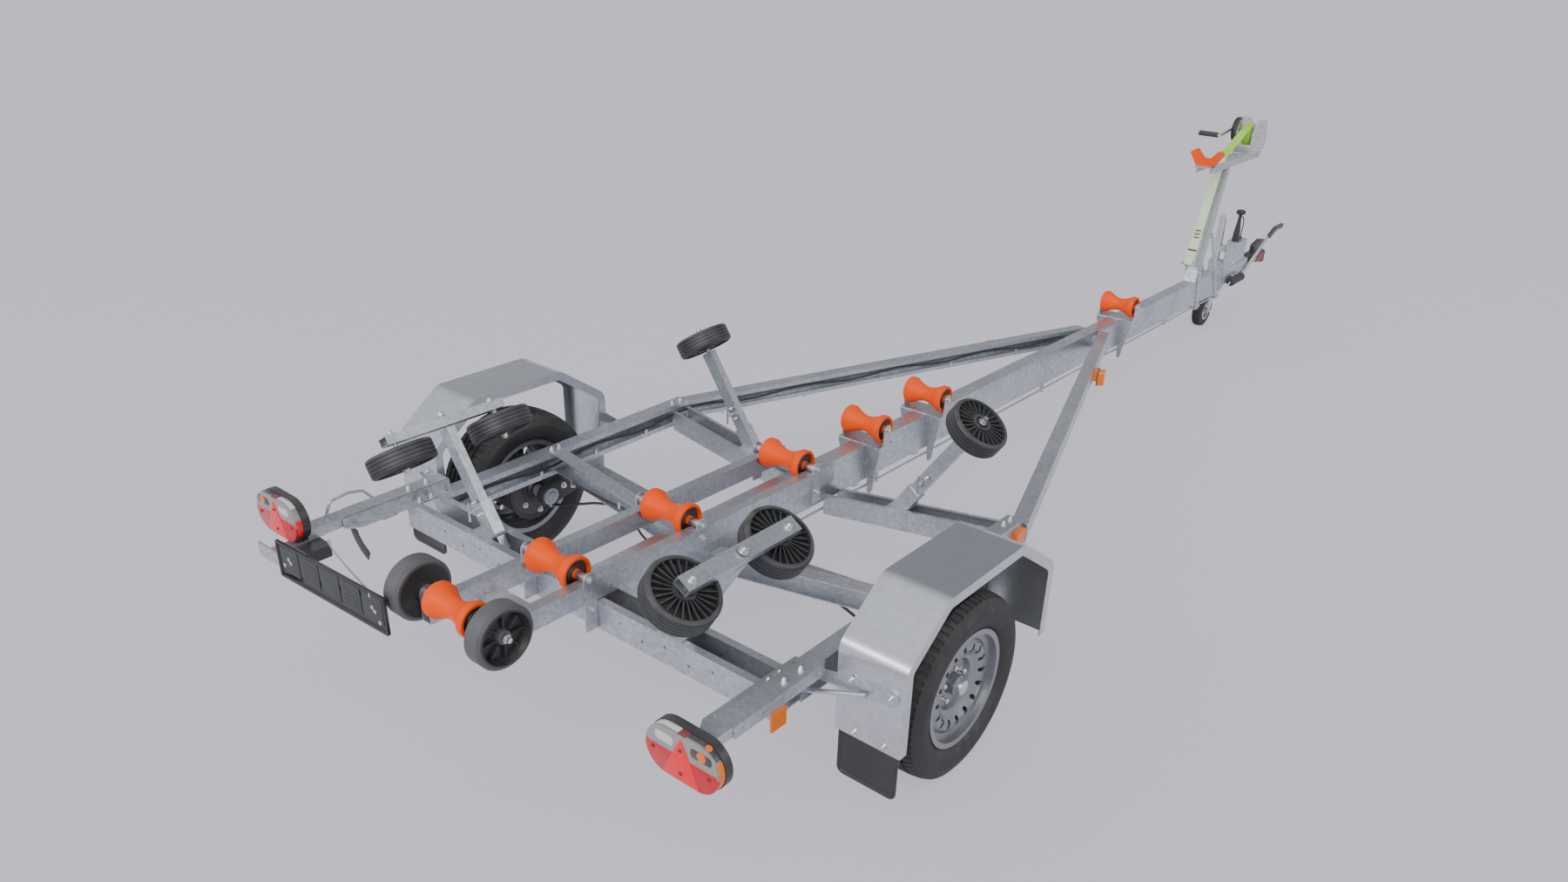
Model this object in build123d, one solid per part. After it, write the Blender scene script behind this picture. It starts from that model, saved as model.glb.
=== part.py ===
from build123d import *
import math
import os

os.makedirs("parts", exist_ok=True)

# Boat trailer. Millimetres, +Y is the travel direction, +Z is up.
# Every position below is measured from the ground under the axle centre.
# The last lines move the whole trailer so that the origin is the middle of its box.
TYRE_R = 298.0
TYRE_W = 185.0
SHEET = 3.0

BAR_HALF = 34.0
BAR_TALL = 150.0
BAR_REAR = -480.0
BAR_FRONT = 4760.0
BAR_SLOPE = -0.011
BAR_TOP = 483.0

REAR_Y = (-596.0, -480.0)
REAR_TOP = 493.8
RAIL_FRONT = 732.0
RAIL_OUT = 825.0
RAIL_WIDE = 60.0
RAIL_IN = RAIL_OUT - RAIL_WIDE
WHEEL_REACH = 168.0
WHEEL_X = RAIL_OUT + WHEEL_REACH
RAIL_TOP = 490.0
RAIL_TALL = 90.0

TUBE_IN = 97.0
TUBE_OUT = 137.0
TUBE_TALL = 65.0
TUBE_TOP = 550.7
TUBE_SLOPE = -0.017

PIN_R = 8.0
BORE_R = 8.06

KEEL_ROLLERS = [
    (3266.0, 515.0),
    (1384.0, 539.0),
    (947.0, 540.0),
    (449.0, 558.0),
    (-145.0, 568.0),
    (-620.0, 576.0),
]
REAR_ROLLER = (-974.0, 582.0)

REAR_LEAN = math.radians(33.0)
FRONT_LEAN = math.radians(35.0)
HULL_WHEEL_R = 108.0
HULL_WHEEL_W = 66.0

SIDES = [-1, 1]
parts = {}


def add(name, *solids):
    parts.setdefault(name, []).extend(solids)


def block(x0, x1, y0, y1, z0, z1):
    size = (abs(x1 - x0), abs(y1 - y0), abs(z1 - z0))
    middle = ((x0 + x1) / 2, (y0 + y1) / 2, (z0 + z1) / 2)
    return Pos(*middle) * Box(*size)


def rod(start, end, radius):
    start = Vector(*start)
    end = Vector(*end)
    way = end - start
    return extrude(Plane(origin=start, z_dir=way) * Circle(radius), way.length)


def pipe(start, end, radius, bore):
    start = Vector(*start)
    end = Vector(*end)
    way = end - start
    ring = Circle(radius) - Circle(bore)
    return extrude(Plane(origin=start, z_dir=way) * ring, way.length)


def beam(start, end, sketch, across=(1, 0, 0)):
    start = Vector(*start)
    end = Vector(*end)
    way = end - start
    return extrude(Plane(origin=start, x_dir=across, z_dir=way) * sketch, way.length)


def hollow(wide, tall, wall):
    return Rectangle(wide, tall) - Rectangle(wide - 2 * wall, tall - 2 * wall)


def side_sheet(points, x0, x1):
    """A sheet with its outline in the YZ plane, between two X positions."""
    face = Plane.YZ * make_face(Polyline(*points, close=True))
    return Pos(min(x0, x1), 0, 0) * extrude(face, abs(x1 - x0))


def spun(profile, centre, along=(1, 0, 0)):
    """A turned piece: profile is (along the axis, radius) pairs."""
    line = Polyline(*[(r, a) for a, r in profile], close=True)
    piece = revolve(Plane.XZ * make_face(line), Axis.Z, 360)
    return Plane(origin=centre, z_dir=along).location * piece


def bend_radii(points):
    """The largest arc that each corner of a cable's route takes with its two runs."""
    radii = []
    for before, here, after in zip(points, points[1:], points[2:]):
        first = Vector(*here) - Vector(*before)
        second = Vector(*after) - Vector(*here)
        half_turn = math.radians(first.get_angle(second)) / 2
        radii.append(0.45 * min(first.length, second.length) / math.tan(half_turn))
    return radii


def cable(points, radius):
    radii = bend_radii(points)
    print("bends", ["%.0f" % value for value in radii])
    path = FilletPolyline(*points, radius=radii)
    tube = sweep(Plane(origin=path @ 0, z_dir=path % 0) * Circle(radius), path=path)
    print("cable length %.1f volume ratio %.4f" % (path.length, tube.volume / (math.pi * radius ** 2 * path.length)))
    return tube


def bar_top(y):
    return BAR_TOP + BAR_SLOPE * y


def tube_top(y):
    return TUBE_TOP + TUBE_SLOPE * y


# Drawbar
def bar_middle(y):
    return (0, y, bar_top(y) - BAR_TALL / 2)


bar = beam(bar_middle(BAR_REAR - 20), bar_middle(BAR_FRONT + 20), hollow(2 * BAR_HALF, BAR_TALL, 4))
add("drawbar", bar & block(-60, 60, BAR_REAR, BAR_FRONT, 100, 700))


# Side rails and the oblique rails that run to the drawbar
def channel(wide, tall, wall, lip):
    """A lipped channel, open towards -X of its sketch."""
    shape = Rectangle(wide, tall) - Pos(-wall, 0) * Rectangle(wide, tall - 2 * wall)
    for way in (-1, 1):
        shape += Pos(-wide / 2 + wall / 2, way * (tall / 2 - lip / 2)) * Rectangle(wall, lip)
    return shape


for side in SIDES:
    rail_z = RAIL_TOP - RAIL_TALL / 2
    rail_x = side * (RAIL_IN + RAIL_OUT) / 2
    section = channel(RAIL_OUT - RAIL_IN, RAIL_TALL, 4, 20)
    rail_plane = Plane(origin=(rail_x, REAR_Y[1], rail_z), x_dir=(side, 0, 0), z_dir=(0, 1, 0))
    add("frame_rails", extrude(rail_plane * section, RAIL_FRONT - REAR_Y[1]))

OBLIQUE_SLOPE = 0.3363
OBLIQUE_ROOT = RAIL_OUT + 235
OBLIQUE_TOPS = [(700.0, 478.0), (2860.0, 449.0)]
for side in SIDES:
    ends = []
    for y, z in OBLIQUE_TOPS:
        ends.append(Vector(side * (OBLIQUE_ROOT - OBLIQUE_SLOPE * y), y, z - 38))
    way = (ends[1] - ends[0]).normalized()
    start = ends[0] - way * 40
    plane = Plane(origin=start, x_dir=(side * way.Y, -side * way.X, 0), z_dir=way)
    rail = extrude(plane * channel(57, 76, 4, 18), (ends[1] - ends[0]).length + 160)
    room = block(side * BAR_HALF, side * 1000, RAIL_FRONT + 4, 2960, 200, 600)
    flange = block(side * BAR_HALF, side * (BAR_HALF + 6), 2880, 3170, 376, 442)
    add("frame_rails", (rail & room) + flange)


# Crossmembers
def upward_channel(y0, y1, tall, wall, lip):
    """Section in the YZ plane with its slot at the top, top face at z = 0."""
    wide = y1 - y0
    shape = Pos(0, -tall / 2) * (Rectangle(wide, tall) - Rectangle(wide - 2 * wall, tall - 2 * wall))
    shape -= Pos(0, -wall) * Rectangle(wide - 2 * lip, 4 * wall)
    return shape


REAR_END = RAIL_OUT - 10
rear_mid = sum(REAR_Y) / 2
rear_plane = Plane(origin=(-REAR_END, rear_mid, REAR_TOP), x_dir=(0, 1, 0), z_dir=(1, 0, 0))
rear_channel = extrude(rear_plane * upward_channel(*REAR_Y, 95, 4, 26), 2 * REAR_END)
REAR_HOLE_R = 4.5
REAR_HOLE_STEP = 92.0
for side in SIDES:
    for step in range(2, 8):
        x = side * (REAR_HOLE_STEP * step - 40)
        z = REAR_TOP - (38 if step % 2 else 60)
        rear_channel -= rod((x, REAR_Y[0] - 5, z), (x, REAR_Y[0] + 10, z), REAR_HOLE_R)
add("crossmembers", rear_channel)

FRONT_Y = (640.0, 730.0)
front_mid = sum(FRONT_Y) / 2
FRONT_TOPS = (464.0, 350.0)


def sloped_channel(side, y_mid, section, tops, x0, x1):
    """One half of a V-shaped crossmember, cut upright at both ends."""
    start = Vector(side * x1, y_mid, tops[1])
    end = Vector(side * x0, y_mid, tops[0])
    way = (end - start).normalized()
    plane = Plane(origin=start - way * 60, x_dir=(0, 1, 0), z_dir=way)
    half = extrude(plane * section, (end - start).length + 120)
    room = block(side * x0, side * x1, y_mid - 200, y_mid + 200, 100, 700)
    return half & room


for side in SIDES:
    turn = upward_channel(*FRONT_Y, 80, 4, 15)
    if side < 0:
        turn = mirror(turn, Plane.XZ)
    half = sloped_channel(side, front_mid, turn, FRONT_TOPS, RAIL_IN, BAR_HALF)
    add("crossmembers", half)

MID_TOPS = (488.0, 366.0)
for side in SIDES:
    mid_y = 30.0
    flip = -1 if side > 0 else 1
    section = Pos(0, flip * 35) * Rectangle(60, 70) - Pos(-4, flip * 35) * Rectangle(60, 62)
    half = sloped_channel(side, mid_y, section, MID_TOPS, RAIL_IN, BAR_HALF)
    add("crossmembers", half)

# Wiring loom inside the left rails, from the rear crossmember to the drawbar
LOOM_R = 4.5
LOOM_STEP = 105.0
LOOM_END_Y = 2762.0


def oblique_inside(y, depth):
    """A point inside the left oblique rail, a depth behind its open side."""
    turn = math.atan(OBLIQUE_SLOPE)
    inward = 28.5 - depth
    middle = -(OBLIQUE_ROOT - OBLIQUE_SLOPE * y)
    rise = 38 + (OBLIQUE_TOPS[0][1] - OBLIQUE_TOPS[1][1]) * (y - 700) / 2160
    return (middle + inward * math.cos(turn), y - inward * math.sin(turn), OBLIQUE_TOPS[0][1] - rise)


LOOM_X = -RAIL_IN - 10
loom_points = [(LOOM_X, REAR_Y[1], RAIL_TOP - 48), (LOOM_X, REAR_Y[1] + 70, RAIL_TOP - 48)]
step = 1
while REAR_Y[1] + 70 + LOOM_STEP * step < RAIL_FRONT - 20:
    y = REAR_Y[1] + 70 + LOOM_STEP * step
    loom_points.append((LOOM_X, y, RAIL_TOP - 48 + 12 * math.sin(1.3 * step)))
    step += 1
y = RAIL_FRONT + 78.0
while y < LOOM_END_Y - 60:
    x, along, z = oblique_inside(y, 10)
    loom_points.append((x, along, z + 10 * math.sin(1.3 * step)))
    y += LOOM_STEP
    step += 1
x, along, z = oblique_inside(LOOM_END_Y, 2)
loom_points.append((x, along, z))
GROMMET = 8.0
loom_points.append((-BAR_HALF - GROMMET, along, z))
LOOM_EXIT = (-BAR_HALF, along, z)


# Keel cradle: two tubes with the roller ears on their outer faces
CRADLE_Y = (-1000.0, 560.0)
for side in SIDES:
    x = side * (TUBE_IN + TUBE_OUT) / 2
    start = (x, CRADLE_Y[0], tube_top(CRADLE_Y[0]) - TUBE_TALL / 2)
    end = (x, CRADLE_Y[1], tube_top(CRADLE_Y[1]) - TUBE_TALL / 2)
    add("cradle_tubes", beam(start, end, hollow(TUBE_OUT - TUBE_IN, TUBE_TALL, 3)))

plate_z = tube_top(-800) - 50
add("bracket_plates", block(-TUBE_IN, TUBE_IN, -840, -760, plate_z, plate_z + 6))
add("bracket_plates", block(-TUBE_IN, TUBE_IN, 500, 555, bar_top(500) + 0.02, bar_top(500) + 8))


def ear(y, z, foot_z, wide, x0, x1):
    """An upright plate with a round head around a roller pin."""
    head = Pos(y, z) * Circle(wide / 2)
    leg = Pos(y, (z + foot_z) / 2) * Rectangle(wide, z - foot_z)
    shape = head + leg - Pos(y, z) * Circle(BORE_R)
    return Pos(min(x0, x1), 0, 0) * extrude(Plane.YZ * shape, abs(x1 - x0))


EAR_FEET = {3: 430.0, 4: 490.0, 5: 405.0}
for index, foot in EAR_FEET.items():
    y, z = KEEL_ROLLERS[index]
    for side in SIDES:
        add("roller_brackets", ear(y, z, foot, 46, side * TUBE_OUT, side * (TUBE_OUT + 6)))
for side in SIDES:
    add("roller_brackets", ear(*REAR_ROLLER, 512, 46, side * TUBE_OUT, side * (TUBE_OUT + 6)))


# Folded brackets of the three rollers on the drawbar
EAR_IN = 97.0


def drawbar_bracket(y, z):
    top = bar_top(y) + 0.51
    wide = EAR_IN + 4
    shelf = block(-wide, wide, y - 46, y + 46, top, top + 4)
    shape = shelf
    for side in SIDES:
        ears = ear(y, z, top, 44, side * (wide - 4), side * wide)
        shape += ears
        low = top - BAR_TALL - 70
        leg = [(y - 46, top), (y + 46, top), (y + 18, low), (y - 18, low)]
        shape += side_sheet(leg, side * BAR_HALF, side * (BAR_HALF + 4))
    return shape


for y, z in KEEL_ROLLERS[:3]:
    add("roller_brackets", drawbar_bracket(y, z))

# Roller pins
ROLLER_HALF = 90.0
SPACER_R = 13.0
for index, (y, z) in enumerate(KEEL_ROLLERS):
    half = 112 if index < 3 else TUBE_OUT + 18
    seat = EAR_IN if index < 3 else TUBE_OUT
    pin = rod((-half, y, z), (half, y, z), PIN_R)
    for side in SIDES:
        pin += rod((side * (ROLLER_HALF + 1), y, z), (side * seat, y, z), SPACER_R)
    add("roller_pins", pin)
y, z = REAR_ROLLER
add("roller_pins", rod((-228, y, z), (228, y, z), PIN_R))

# Keel rollers


def roller_profile(half, bore):
    rim = 55.0
    waist = 31.0
    steps = 8
    recess = 12.0
    outline = [(-half, bore), (-half, 15), (-half + recess, 17), (-half + recess, 42), (-half, 45)]
    outline += [(-half, rim - 3), (-half + 4, rim), (-half + 22, rim)]
    for step in range(1, steps):
        turn = -1 + 2 * step / steps
        radius = waist + (rim - waist) * abs(turn) ** 1.7
        outline.append((turn * (half - 22), radius))
    outline += [(half - 22, rim), (half - 4, rim), (half, rim - 3)]
    outline += [(half, 45), (half - recess, 42), (half - recess, 17), (half, 15), (half, bore)]
    return outline


for index, (y, z) in enumerate(KEEL_ROLLERS):
    add("keel_roller_%d" % (index + 1), spun(roller_profile(ROLLER_HALF, BORE_R), (0, y, z)))
y, z = REAR_ROLLER
add("rear_roller", spun(roller_profile(ROLLER_HALF, BORE_R), (0, y, z)))
for side in SIDES:
    x0 = 150.0
    x1 = 214.0
    profile = [
        (x0, 30), (x0, 86), (x0 + 8, 95), (x1 - 8, 95), (x1, 86),
        (x1, 78), (x1 - 26, 70), (x1 - 26, 26), (x1 - 6, 20), (x1 - 6, BORE_R), (x0 + 4, BORE_R), (x0 + 4, 30),
    ]
    add("rear_side_wheels", spun(profile, (0, y, z), (side, 0, 0)))


# Side supports
def leaning(side, lean):
    return Vector(side * math.sin(lean), 0, math.cos(lean))


RIB_COUNT = 24
RIB_THICK = 4.0
GROOVES = (-19.0, -6.5, 6.5, 19.0)
GROOVE_DEEP = 3.0
WHEEL_DISH = 20.0
DISH_R = (36.0, 93.0)


def ribbed_wheel():
    """The moulded wheel along Z: grooved tread, dished sides with radial ribs, a boss at the pin."""
    half = HULL_WHEEL_W / 2
    r = HULL_WHEEL_R
    floor = half - WHEEL_DISH
    tread = [(-half, DISH_R[1]), (-half, r - 9), (-half + 3, r - 3), (-half + 9, r)]
    for groove in GROOVES:
        tread += [(groove - 2, r), (groove - 1, r - GROOVE_DEEP), (groove + 1, r - GROOVE_DEEP), (groove + 2, r)]
    tread += [(half - 9, r), (half - 3, r - 3), (half, r - 9), (half, DISH_R[1])]
    boss = [
        (floor, DISH_R[1] - 3), (floor, DISH_R[0]), (half, DISH_R[0] - 3), (half, 24), (half - 8, 22), (half - 8, 16),
        (half + 2, 14), (half + 2, BORE_R),
    ]
    inner = [(-a, b) for a, b in reversed(boss)]
    wheel = spun(tread + boss + inner, (0, 0, 0), (0, 0, 1))
    length = DISH_R[1] - DISH_R[0] + 6
    for side in SIDES:
        middle = side * (floor + (WHEEL_DISH - 4) / 2)
        rib = Box(length, RIB_THICK, WHEEL_DISH - 4)
        wheel += [Pos(0, 0, middle) * place * rib for place in PolarLocations(sum(DISH_R) / 2, RIB_COUNT)]
    return wheel


WHEEL_BLANK = ribbed_wheel()


def hull_wheel(centre, axis):
    return Plane(origin=centre, z_dir=axis).location * WHEEL_BLANK


ROCKER_MID = Vector(642, -527, 815)
ROCKER_HALF = 222.0
ROCKER_WHEEL_Y = 189.0
ROCKER_DROP = 66.0
BEAM_TALL = 30.0
BEAM_WIDE = 50.0
FRONT_WHEEL = Vector(632, 685, 790)
REAR_FOOT_Z = 432.0
FRONT_FOOT_Z = 392.0

def sleeve(foot, axis, across, level, fall, deep):
    """Clamp sleeve around a post, with a seat on the crossmember's sloping top."""
    side = 1 if foot.X > 0 else -1
    run = (level + fall * abs(foot.X) - foot.Z) / (axis.Z - fall * abs(axis.X))
    seat = foot + axis * run
    low = run + 30 * abs(axis.X) + 8
    shape = extrude(Plane(origin=foot + axis * low, x_dir=across, z_dir=axis) * Rectangle(60, 40), 76)
    skirt = extrude(Plane(origin=foot + axis * (run - 30), x_dir=across, z_dir=axis) * Rectangle(60, 40), 60)
    flat = (Vector(side, 0, side * side * fall)).normalized()
    up = Vector(-flat.Z, 0, flat.X) if side > 0 else Vector(flat.Z, 0, -flat.X)
    plate_plane = Plane(origin=(seat.X, sum(deep) / 2, seat.Z), x_dir=flat, z_dir=up)
    plate = extrude(plate_plane * Rectangle(92, deep[1] - deep[0] - 6), 5)
    above = extrude(plate_plane * Rectangle(400, 400), 200)
    post = extrude(Plane(origin=foot, x_dir=across, z_dir=axis) * Rectangle(50.3, 30.3), 400)
    return (shape + (skirt & above) + plate) - post


for side in SIDES:
    name = "left" if side < 0 else "right"
    axis = leaning(side, REAR_LEAN)
    across = Vector(side * axis.Z, 0, -side * axis.X)
    middle = Vector(side * ROCKER_MID.X, ROCKER_MID.Y, ROCKER_MID.Z)
    start = middle - Vector(0, ROCKER_HALF, 0)
    rocker_beam = extrude(
        Plane(origin=start, x_dir=across, z_dir=(0, 1, 0)) * hollow(BEAM_WIDE, BEAM_TALL, 3),
        2 * ROCKER_HALF,
    )
    rocker_beam -= rod(middle - axis * 40, middle + axis * 40, 6.06)
    wheels = []
    studs = []
    for way in (-1, 1):
        seat = middle + Vector(0, way * ROCKER_WHEEL_Y, 0)
        rocker_beam -= rod(seat - axis * 30, seat + axis * 30, PIN_R)
        centre = seat - axis * ROCKER_DROP
        stud = rod(centre - axis * (HULL_WHEEL_W / 2 + 16), seat + axis * 24, PIN_R)
        studs.append(stud)
        wheels.append(hull_wheel(centre, axis))
    for stud in studs:
        rocker_beam += stud
    add("rocker_beam_" + name, rocker_beam)
    add("hull_wheel_%s_1" % name, wheels[0])
    add("hull_wheel_%s_2" % name, wheels[1])
    post_top = middle - axis * (BEAM_TALL / 2 + 6)
    length = (post_top.Z - REAR_FOOT_Z) / axis.Z
    foot = post_top - axis * length
    post_plane = Plane(origin=foot, x_dir=across, z_dir=axis)
    post = extrude(post_plane * hollow(50, 30, 3), length - 5)
    cap = extrude(Plane(origin=post_top - axis * 5, x_dir=across, z_dir=axis) * Rectangle(50, 30), 5)
    add("support_posts", post + cap)
    bolt = rod(post_top, middle + axis * (BEAM_TALL / 2 + 5), 6)
    nut = rod(middle + axis * (BEAM_TALL / 2 + 5), middle + axis * (BEAM_TALL / 2 + 15), 10)
    add("support_posts", bolt + nut)
    add("post_sleeves", sleeve(foot, axis, across, REAR_TOP, 0, REAR_Y))

    axis = leaning(side, FRONT_LEAN)
    across = Vector(side * axis.Z, 0, -side * axis.X)
    centre = Vector(side * FRONT_WHEEL.X, FRONT_WHEEL.Y, FRONT_WHEEL.Z)
    add("hull_wheel_%s_3" % name, hull_wheel(centre, axis))
    post_top = centre - axis * (HULL_WHEEL_W / 2 + 14)
    length = (post_top.Z - FRONT_FOOT_Z) / axis.Z
    foot = post_top - axis * length
    post = extrude(Plane(origin=foot, x_dir=across, z_dir=axis) * hollow(50, 30, 3), length - 5)
    cap = extrude(Plane(origin=post_top - axis * 5, x_dir=across, z_dir=axis) * Rectangle(50, 30), 5)
    stud = rod(post_top, centre + axis * (HULL_WHEEL_W / 2 + 24), PIN_R)
    add("support_posts", post + cap + stud)
    fall = (FRONT_TOPS[0] - FRONT_TOPS[1]) / (RAIL_IN - BAR_HALF)
    level = FRONT_TOPS[1] - fall * BAR_HALF
    add("post_sleeves", sleeve(foot, axis, across, level, fall, FRONT_Y))

# Axle: a shallow V under the drawbar, trailing arms and brake backplates
AXLE_Y = 200.0
AXLE_X = RAIL_OUT - 25
AXLE_END_Z = 338.0
AXLE_MID_Z = 266.0
ARM_X = (RAIL_OUT - 27, RAIL_OUT + 7)
PLATE_X = WHEEL_X - 103
axle = None
for side in SIDES:
    start = (0, AXLE_Y, AXLE_MID_Z)
    end = (side * AXLE_X, AXLE_Y, AXLE_END_Z)
    half = beam(start, end, Rectangle(60, 60), (0, 1, 0))
    half = half & block(0, side * AXLE_X, 0, 400, 100, 500)
    axle = half if axle is None else axle + half
for side in SIDES:
    hub = Pos(0, TYRE_R) * Circle(38)
    root = Pos(AXLE_Y, AXLE_END_Z) * Circle(44)
    x0 = min(side * ARM_X[0], side * ARM_X[1])
    shape = make_hull(hub.edges() + root.edges())
    arm = Pos(x0, 0, 0) * extrude(Plane.YZ * shape, ARM_X[1] - ARM_X[0])
    spindle = rod((side * ARM_X[1], 0, TYRE_R), (side * PLATE_X, 0, TYRE_R), 24)
    spindle += rod((side * PLATE_X, 0, TYRE_R), (side * (WHEEL_X + 32), 0, TYRE_R), 15)
    saddle = block(side * RAIL_IN, side * ARM_X[0], AXLE_Y - 50, AXLE_Y + 50, 345, RAIL_TOP - RAIL_TALL)
    axle += arm + spindle + saddle
    plate = pipe((side * PLATE_X, 0, TYRE_R), (side * (PLATE_X + 7), 0, TYRE_R), 122, 15)
    add("brake_backplates", plate)
add("axle", axle)

# Road wheels
RIM_HALF = 76.0
DISC_X = 20.0
SLOT_COUNT = 16
SLOT_RING = 123.0
SLOT_LONG = 30.0
SLOT_WIDE = 15.0
for side in SIDES:
    name = "left" if side < 0 else "right"
    centre = (side * WHEEL_X, 0, TYRE_R)
    out = (side, 0, 0)
    rim = [
        (-RIM_HALF, 191), (-RIM_HALF + 6, 191), (-RIM_HALF + 8, 178), (-RIM_HALF + 34, 172),
        (-20, 158), (DISC_X + 26, 158), (RIM_HALF - 22, 176), (RIM_HALF - 8, 178), (RIM_HALF - 6, 191), (RIM_HALF, 191),
        (RIM_HALF - 1, 174), (RIM_HALF - 22, 171), (DISC_X + 30, 153), (DISC_X + 38, 140),
        (DISC_X + 40, 120), (DISC_X + 22, 96), (DISC_X + 18, 84), (DISC_X + 4, 78), (DISC_X + 4, 34), (DISC_X, 34),
        (DISC_X, 82), (DISC_X + 14, 88), (DISC_X + 18, 100), (DISC_X + 35, 122), (DISC_X + 33, 138), (DISC_X + 24, 153),
        (-20, 153), (-RIM_HALF + 34, 167), (-RIM_HALF + 2, 173),
    ]
    rim = spun(rim, centre, out)
    slot_plane = Plane(origin=(side * (WHEEL_X + DISC_X), 0, TYRE_R), x_dir=(0, 1, 0), z_dir=out)
    slot = SlotOverall(SLOT_LONG, SLOT_WIDE)
    for place in PolarLocations(SLOT_RING, SLOT_COUNT):
        rim -= extrude(slot_plane * place * slot, 60)
    half = TYRE_W / 2
    tyre = [
        (-67.98, 178.02), (-69.6, 193), (-77, 197), (-86, 210), (-half, 238), (-half + 5, 266), (-half + 16, 287),
        (-half + 34, 296), (0, TYRE_R), (half - 34, 296), (half - 16, 287), (half - 5, 266), (half, 238),
        (86, 210), (77, 197), (69.6, 193), (67.98, 178.02), (54, 178.02), (50, 200), (-50, 200), (-54, 178.02),
    ]
    add("tyre_" + name, spun(tyre, centre, out))
    drum = [
        (-90, 60), (-90, 112), (DISC_X - 12, 112), (DISC_X - 12, 82), (DISC_X, 78), (DISC_X, 33),
        (DISC_X + 30, 32), (DISC_X + 34, 26), (DISC_X + 34, 0), (DISC_X + 15, 0),
        (DISC_X + 15, 15.06), (DISC_X - 20, 15.06), (DISC_X - 20, 60),
    ]
    add("rim_" + name, rim + spun(drum, centre, out))

# Mudguards
GUARD_X = (WHEEL_X - 98, WHEEL_X + 122)
GUARD_PATH = [(-415, 315), (-415, 595), (-230, 735), (170, 735), (385, 585), (385, 330)]


def guard_section(depth):
    outer = make_face(Polyline(*[(-415, 200)] + GUARD_PATH[1:5] + [(385, 200)], close=True))
    corners = [v for v in outer.vertices() if v.Y > 500]
    outer = fillet(corners, 60)
    shape = outer - offset(outer, -depth)
    keep = make_face(Polyline((-500, 315), (0, 315), (0, 330), (500, 330), (500, 900), (-500, 900), close=True))
    return shape & keep


for side in SIDES:
    name = "left" if side < 0 else "right"
    x0 = min(side * GUARD_X[0], side * GUARD_X[1])
    wide = GUARD_X[1] - GUARD_X[0]
    skin = Pos(x0, 0, 0) * extrude(Plane.YZ * guard_section(SHEET), wide)
    lip = extrude(Plane.YZ * guard_section(32), SHEET)
    guard = skin + Pos(x0, 0, 0) * lip + Pos(x0 + wide - SHEET, 0, 0) * lip
    add("mudguards", guard)
    flap = block(side * (GUARD_X[0] + 13), side * (GUARD_X[1] - 7), -412, -406, 165, 345)
    low_corners = [edge for edge in flap.edges().filter_by(Axis.Y) if edge.center().Z < 200]
    add("mudflaps", fillet(low_corners, 24))
    for y0, y1, foot in ((GUARD_PATH[0][0] - 4, GUARD_PATH[0][0], 40), (GUARD_PATH[5][0], GUARD_PATH[5][0] + 4, -40)):
        end = Pos(side * (GUARD_X[1] - 44), 500) * Circle(28)
        root = Pos(side * (RAIL_OUT + 2), 468) * Rectangle(4, 36)
        outline = make_hull((end + root).edges())
        plate = Pos(0, y1, 0) * extrude(Plane.XZ * outline, y1 - y0)
        fold_y = sorted((y0 if foot > 0 else y1, (y0 if foot > 0 else y1) + foot))
        plate += block(side * RAIL_OUT, side * (RAIL_OUT + 4), *fold_y, 450, 486)
        add("bracket_plates", plate)
    stay_end = (side * (GUARD_X[1] - 114), GUARD_PATH[0][0] - 11, 480)
    stay = rod((side * (RAIL_OUT - 20), -462, 424), stay_end, 7)
    room = block(side * RAIL_OUT, side * GUARD_X[1], -600, GUARD_PATH[0][0] - 4, 300, 600)
    add("bracket_plates", stay & room)

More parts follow.
